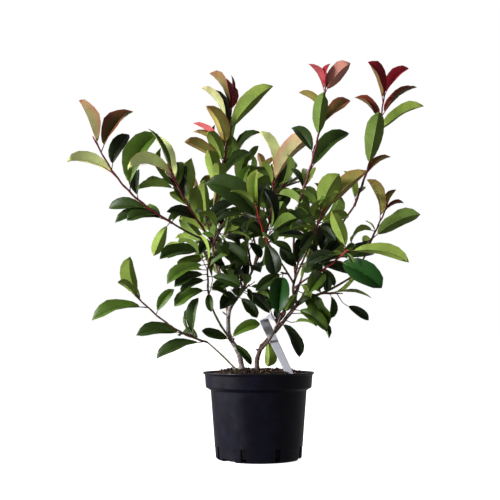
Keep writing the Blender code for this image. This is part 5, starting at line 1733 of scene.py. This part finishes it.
def soil_height(x, y):
    """The mound: level round the stems, falling to the wall, with lumps of three sizes."""
    distance = np.hypot(x, y)
    edge = BAND_LOW_RADIUS - WALL
    fall = np.clip((distance - SOIL_CROWN_RADIUS) / (edge - SOIL_CROWN_RADIUS), 0, 1)
    chance = np.random.default_rng(5)
    height = SOIL_TOP - SINK - SOIL_EDGE_DROP * fall**1.3
    for size, rise in LUMPS:
        height = height + rise * lumps(x, y, chance, size)
    return height


soil = Finish("compost_earth", 0.92, specular=0.2)
crumbs = soil.ramp(soil.cells(260), 0.15, 0.75)
earth = soil.mix(soil.ramp(soil.noise(120, 5, 0.7), 0.35, 0.68), srgb(16, 12, 11), srgb(50, 36, 28))
earth = soil.mix(crumbs, srgb(58, 42, 32), earth)
height = soil.add("SeparateXYZ", {0: soil.place}).outputs["Z"]
# Painted shade: the lower the fill lies, down under the rim, the darker it is
earth = soil.mix(soil.ramp(height, 0.10, SOIL_TOP), srgb(9, 8, 7), earth)
soil.colour(soil.mix(soil.ramp(soil.noise(75, 4, 0.6), 0.60, 0.68), earth, srgb(70, 84, 34)))
soil.gloss(soil.ramp(soil.noise(150, 3), 0.3, 0.7, 0.80, 0.98))
soil.bump(soil.math("ADD", soil.cells(300), soil.noise(700, 4, 0.7)), 0.9, 0.0016)

slack = WALL + 2 * GAP
over_arch = ARCH_HEIGHT + slack
edge = BAND_LOW_RADIUS - slack
wall_profile = np.array([
    (0, FLOOR + GAP), (FOOT_RADIUS, FLOOR + GAP), (FOOT_RADIUS + 0.0005, over_arch),
    (BASE_RADIUS - slack, over_arch), (BODY_TOP_RADIUS - slack, BAND_FOOT + slack),
    (edge, BAND_FOOT + BAND_SLOPE + slack), (edge, SOIL_TOP - SOIL_EDGE_DROP - 0.003),
])
top_radii = np.linspace(edge, 0, SOIL_RINGS)
top_profile = np.stack([top_radii, np.full(SOIL_RINGS, SOIL_TOP)], axis=-1)
points, quads, tris = turned(np.concatenate([wall_profile, top_profile]), POT_SEGMENTS)
on_top = points[:, 2] >= SOIL_TOP - 0.0005
points[on_top, 2] = soil_height(points[on_top, 0], points[on_top, 1])
compost = make_piece("compost_fill", points, quads, tris, [soil.material])
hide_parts("compost")
print("compost from", round(points[:, 2].min(), 4), "to", round(points[:, 2].max(), 4), "m")

# %% Chips of bark and flecks of moss
CHIP_COUNT = 900
CHIP_KINDS = (("chip_dark", srgb(28, 20, 18)), ("chip_brown", srgb(72, 44, 32)),
              ("chip_pale", srgb(134, 106, 80)), ("moss", srgb(66, 84, 30)))
CHIP_SHARES = (0.52, 0.30, 0.05, 0.13)
CHIP_SIDES = ((0.002, 0.0060), (0.0014, 0.0034), (0.0008, 0.0026))
CHIP_MARGIN = 0.006
CHIP_RISE = 0.25
CORNER_SLIP = (0.65, 1.25)
MOSS = 3


def crumb_finish(name, colour):
    """A dull crumb, mottled lighter and darker."""
    finish = Finish(name, 0.9, specular=0.2)
    finish.colour(finish.mix(finish.noise(500, 3), shade(colour, 0.6), shade(colour, 1.3)))
    finish.bump(finish.noise(1200, 3), 0.6, 0.0006)
    return finish.material


chance = np.random.default_rng(8)
turn = chance.uniform(0, 2 * np.pi, CHIP_COUNT)
distance = (BAND_LOW_RADIUS - CHIP_MARGIN) * np.sqrt(chance.uniform(0, 1, CHIP_COUNT))
x, y = distance * np.cos(turn), distance * np.sin(turn)
kind = chance.choice(len(CHIP_KINDS), CHIP_COUNT, p=CHIP_SHARES)
sides = np.stack([chance.uniform(*ends, CHIP_COUNT) for ends in CHIP_SIDES], axis=-1)
sides = np.where((kind == MOSS)[:, None], 0.5 * sides, sides)
cube = np.array([(a, b, c) for c in (-0.5, 0.5) for b in (-0.5, 0.5) for a in (-0.5, 0.5)])
corners = cube[None] * sides[:, None] * chance.uniform(*CORNER_SLIP, (CHIP_COUNT, 8, 3))
# A turn for each chip, as a quaternion, mostly about the vertical
spin = chance.normal(0, 1, (CHIP_COUNT, 4)) * np.array((1.0, 0.35, 0.35, 1.0))
spin /= np.linalg.norm(spin, axis=1, keepdims=True)
w, axis = spin[:, None, :1], np.broadcast_to(spin[:, None, 1:], corners.shape)
corners = corners + 2 * np.cross(axis, np.cross(axis, corners) + w * corners)
centre = np.stack([x, y, soil_height(x, y) + CHIP_RISE * sides[:, 2]], axis=-1)
box = np.array([(0, 2, 3, 1), (4, 5, 7, 6), (0, 1, 5, 4), (2, 6, 7, 3), (0, 4, 6, 2), (1, 3, 7, 5)])
chip_points = (corners + centre[:, None]).reshape(-1, 3)
chip_finishes = [crumb_finish(name, colour) for name, colour in CHIP_KINDS]
chips = make_piece("compost_chips", chip_points, offset_faces(box, CHIP_COUNT, len(cube)), NO_TRIS,
                   chip_finishes, np.repeat(kind, len(box)))
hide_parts("compost")
print("chips:", CHIP_COUNT)

# %% [markdown]
# ## The plant label
#
# A thin white plastic strip is pushed into the compost, leans up behind the stems and folds over
# towards the front. It is bare. One smooth curve runs through its six stations, each of which holds
# a place, the way across and a share of the full width, and its section is a flat bar with round
# edges.

# %% The label
LABEL_WIDTH = 0.019
LABEL_THICKNESS = 0.0010
LABEL_FOOT = (0.0595, -0.0560, 0.1735)
LABEL_SHOULDER = (0.0130, 0.0020, 0.2740)
LABEL_DEPTH = 0.014
LABEL_SIDES = 16
LABEL_STEPS = 8
LABEL_CREASE = math.radians(50)


def smooth_through(stations, steps):
    """A smooth curve through the stations, in so many steps for each stretch.

    A stretch is a cubic in t, whose slope at each station is half the way from the station before
    it to the one after it. Beyond both ends one more station goes straight on.
    """
    first, last = 2 * stations[0] - stations[1], 2 * stations[-1] - stations[-2]
    padded = np.concatenate([[first], stations, [last]])
    t = np.linspace(0, 1, steps, endpoint=False)[None, :, None]
    a, b, c, d = (padded[i:len(padded) - 3 + i, None] for i in range(4))
    bend, twist = 2 * a - 5 * b + 4 * c - d, 3 * b - 3 * c + d - a
    curve = 0.5 * (2 * b + (c - a) * t + bend * t**2 + twist * t**3)
    return np.concatenate([curve.reshape(-1, stations.shape[1]), stations[-1:]])


foot, shoulder = np.array(LABEL_FOOT), np.array(LABEL_SHOULDER)
lean = unit(shoulder - foot)
across = np.array((0.80, 0.36, 0.46))
across = unit(across - lean * (across @ lean))
folded = unit(np.array((0.45, 0.45, 0.75)))
stations = np.array([
    (*(foot - lean * LABEL_DEPTH), *across, 0.8), (*(foot * 0.5 + shoulder * 0.5), *across, 0.93),
    (*shoulder, *across, 1.0),
    (*(shoulder + (0.001, -0.005, 0.008)), *unit(across + folded), 0.9),
    (*(shoulder + (0.010, -0.017, 0.012)), *folded, 0.75),
    (*(shoulder + (0.020, -0.025, 0.005)), *folded, 0.45),
])
smooth = smooth_through(stations, LABEL_STEPS)
middle, wide = smooth[:, :3], unit(smooth[:, 3:6])
ahead = unit(np.gradient(middle, axis=0))
face = unit(np.cross(ahead, wide))
turn = 2 * np.pi * (np.arange(LABEL_SIDES) + 0.5) / LABEL_SIDES
flat_x = np.sign(np.cos(turn)) * np.abs(np.cos(turn)) ** 0.5 * LABEL_WIDTH / 2
flat_y = np.sign(np.sin(turn)) * np.abs(np.sin(turn)) ** 0.5 * LABEL_THICKNESS / 2
share = smooth[:, 6][:, None, None]
label_points = (middle[:, None] + wide[:, None] * flat_x[None, :, None] * share
                + face[:, None] * flat_y[None, :, None])
rows = len(middle)
fan = np.arange(1, LABEL_SIDES - 1)
end_tris = np.stack([0 * fan, fan, fan + 1], axis=-1)
label_tris = np.concatenate([end_tris[:, ::-1], end_tris + LABEL_SIDES * (rows - 1)])
white = Finish("label_plastic", 0.42)
smudge = white.ramp(white.noise(90, 4, 0.6), 0.60, 0.85)
white.colour(white.mix(smudge, srgb(178, 178, 190), srgb(160, 158, 166)))
white.gloss(white.ramp(white.noise(120, 3), 0.3, 0.7, 0.34, 0.5))
white.bump(white.noise(160, 2), 0.15, 0.0006)
label = make_piece("label_strip", label_points.reshape(-1, 3), grid_quads(rows, LABEL_SIDES, True),
                   label_tris, [white.material])
label.data.set_sharp_from_angle(angle=LABEL_CREASE)
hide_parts("plant_label")
print("label length:", round(float(np.linalg.norm(np.diff(middle, axis=0), axis=1).sum()), 3), "m")

# %% [markdown]
# ## The floor
#
# A pale disc carries the pot.

# %% The floor
FLOOR_GLOW = 0.85
FLOOR_RADIUS = 60.0
FLOOR_SIDES = 96

turn = 2 * np.pi * np.arange(FLOOR_SIDES) / FLOOR_SIDES
rim = FLOOR_RADIUS * np.stack([np.cos(turn), np.sin(turn), 0 * turn], axis=-1)
wedges = [(0, 1 + i, 1 + (i + 1) % FLOOR_SIDES) for i in range(FLOOR_SIDES)]
floor_mesh = bpy.data.meshes.new("floor")
floor_mesh.from_pydata([(0, 0, 0), *rim.tolist()], [], wedges)
floor_mesh.update()
paint = Finish("floor_paint", 0.85, specular=0.2)
paint.colour(paint.mix(paint.noise(3, 3), srgb(246, 246, 246), srgb(250, 250, 250)))
paint.shader.inputs["Emission Color"].default_value = WHITE
paint.shader.inputs["Emission Strength"].default_value = FLOOR_GLOW
floor_mesh.materials.append(paint.material)
floor = bpy.data.objects.new("floor", floor_mesh)
scene.collection.objects.link(floor)
floor.visible_diffuse = False
floor.visible_glossy = False
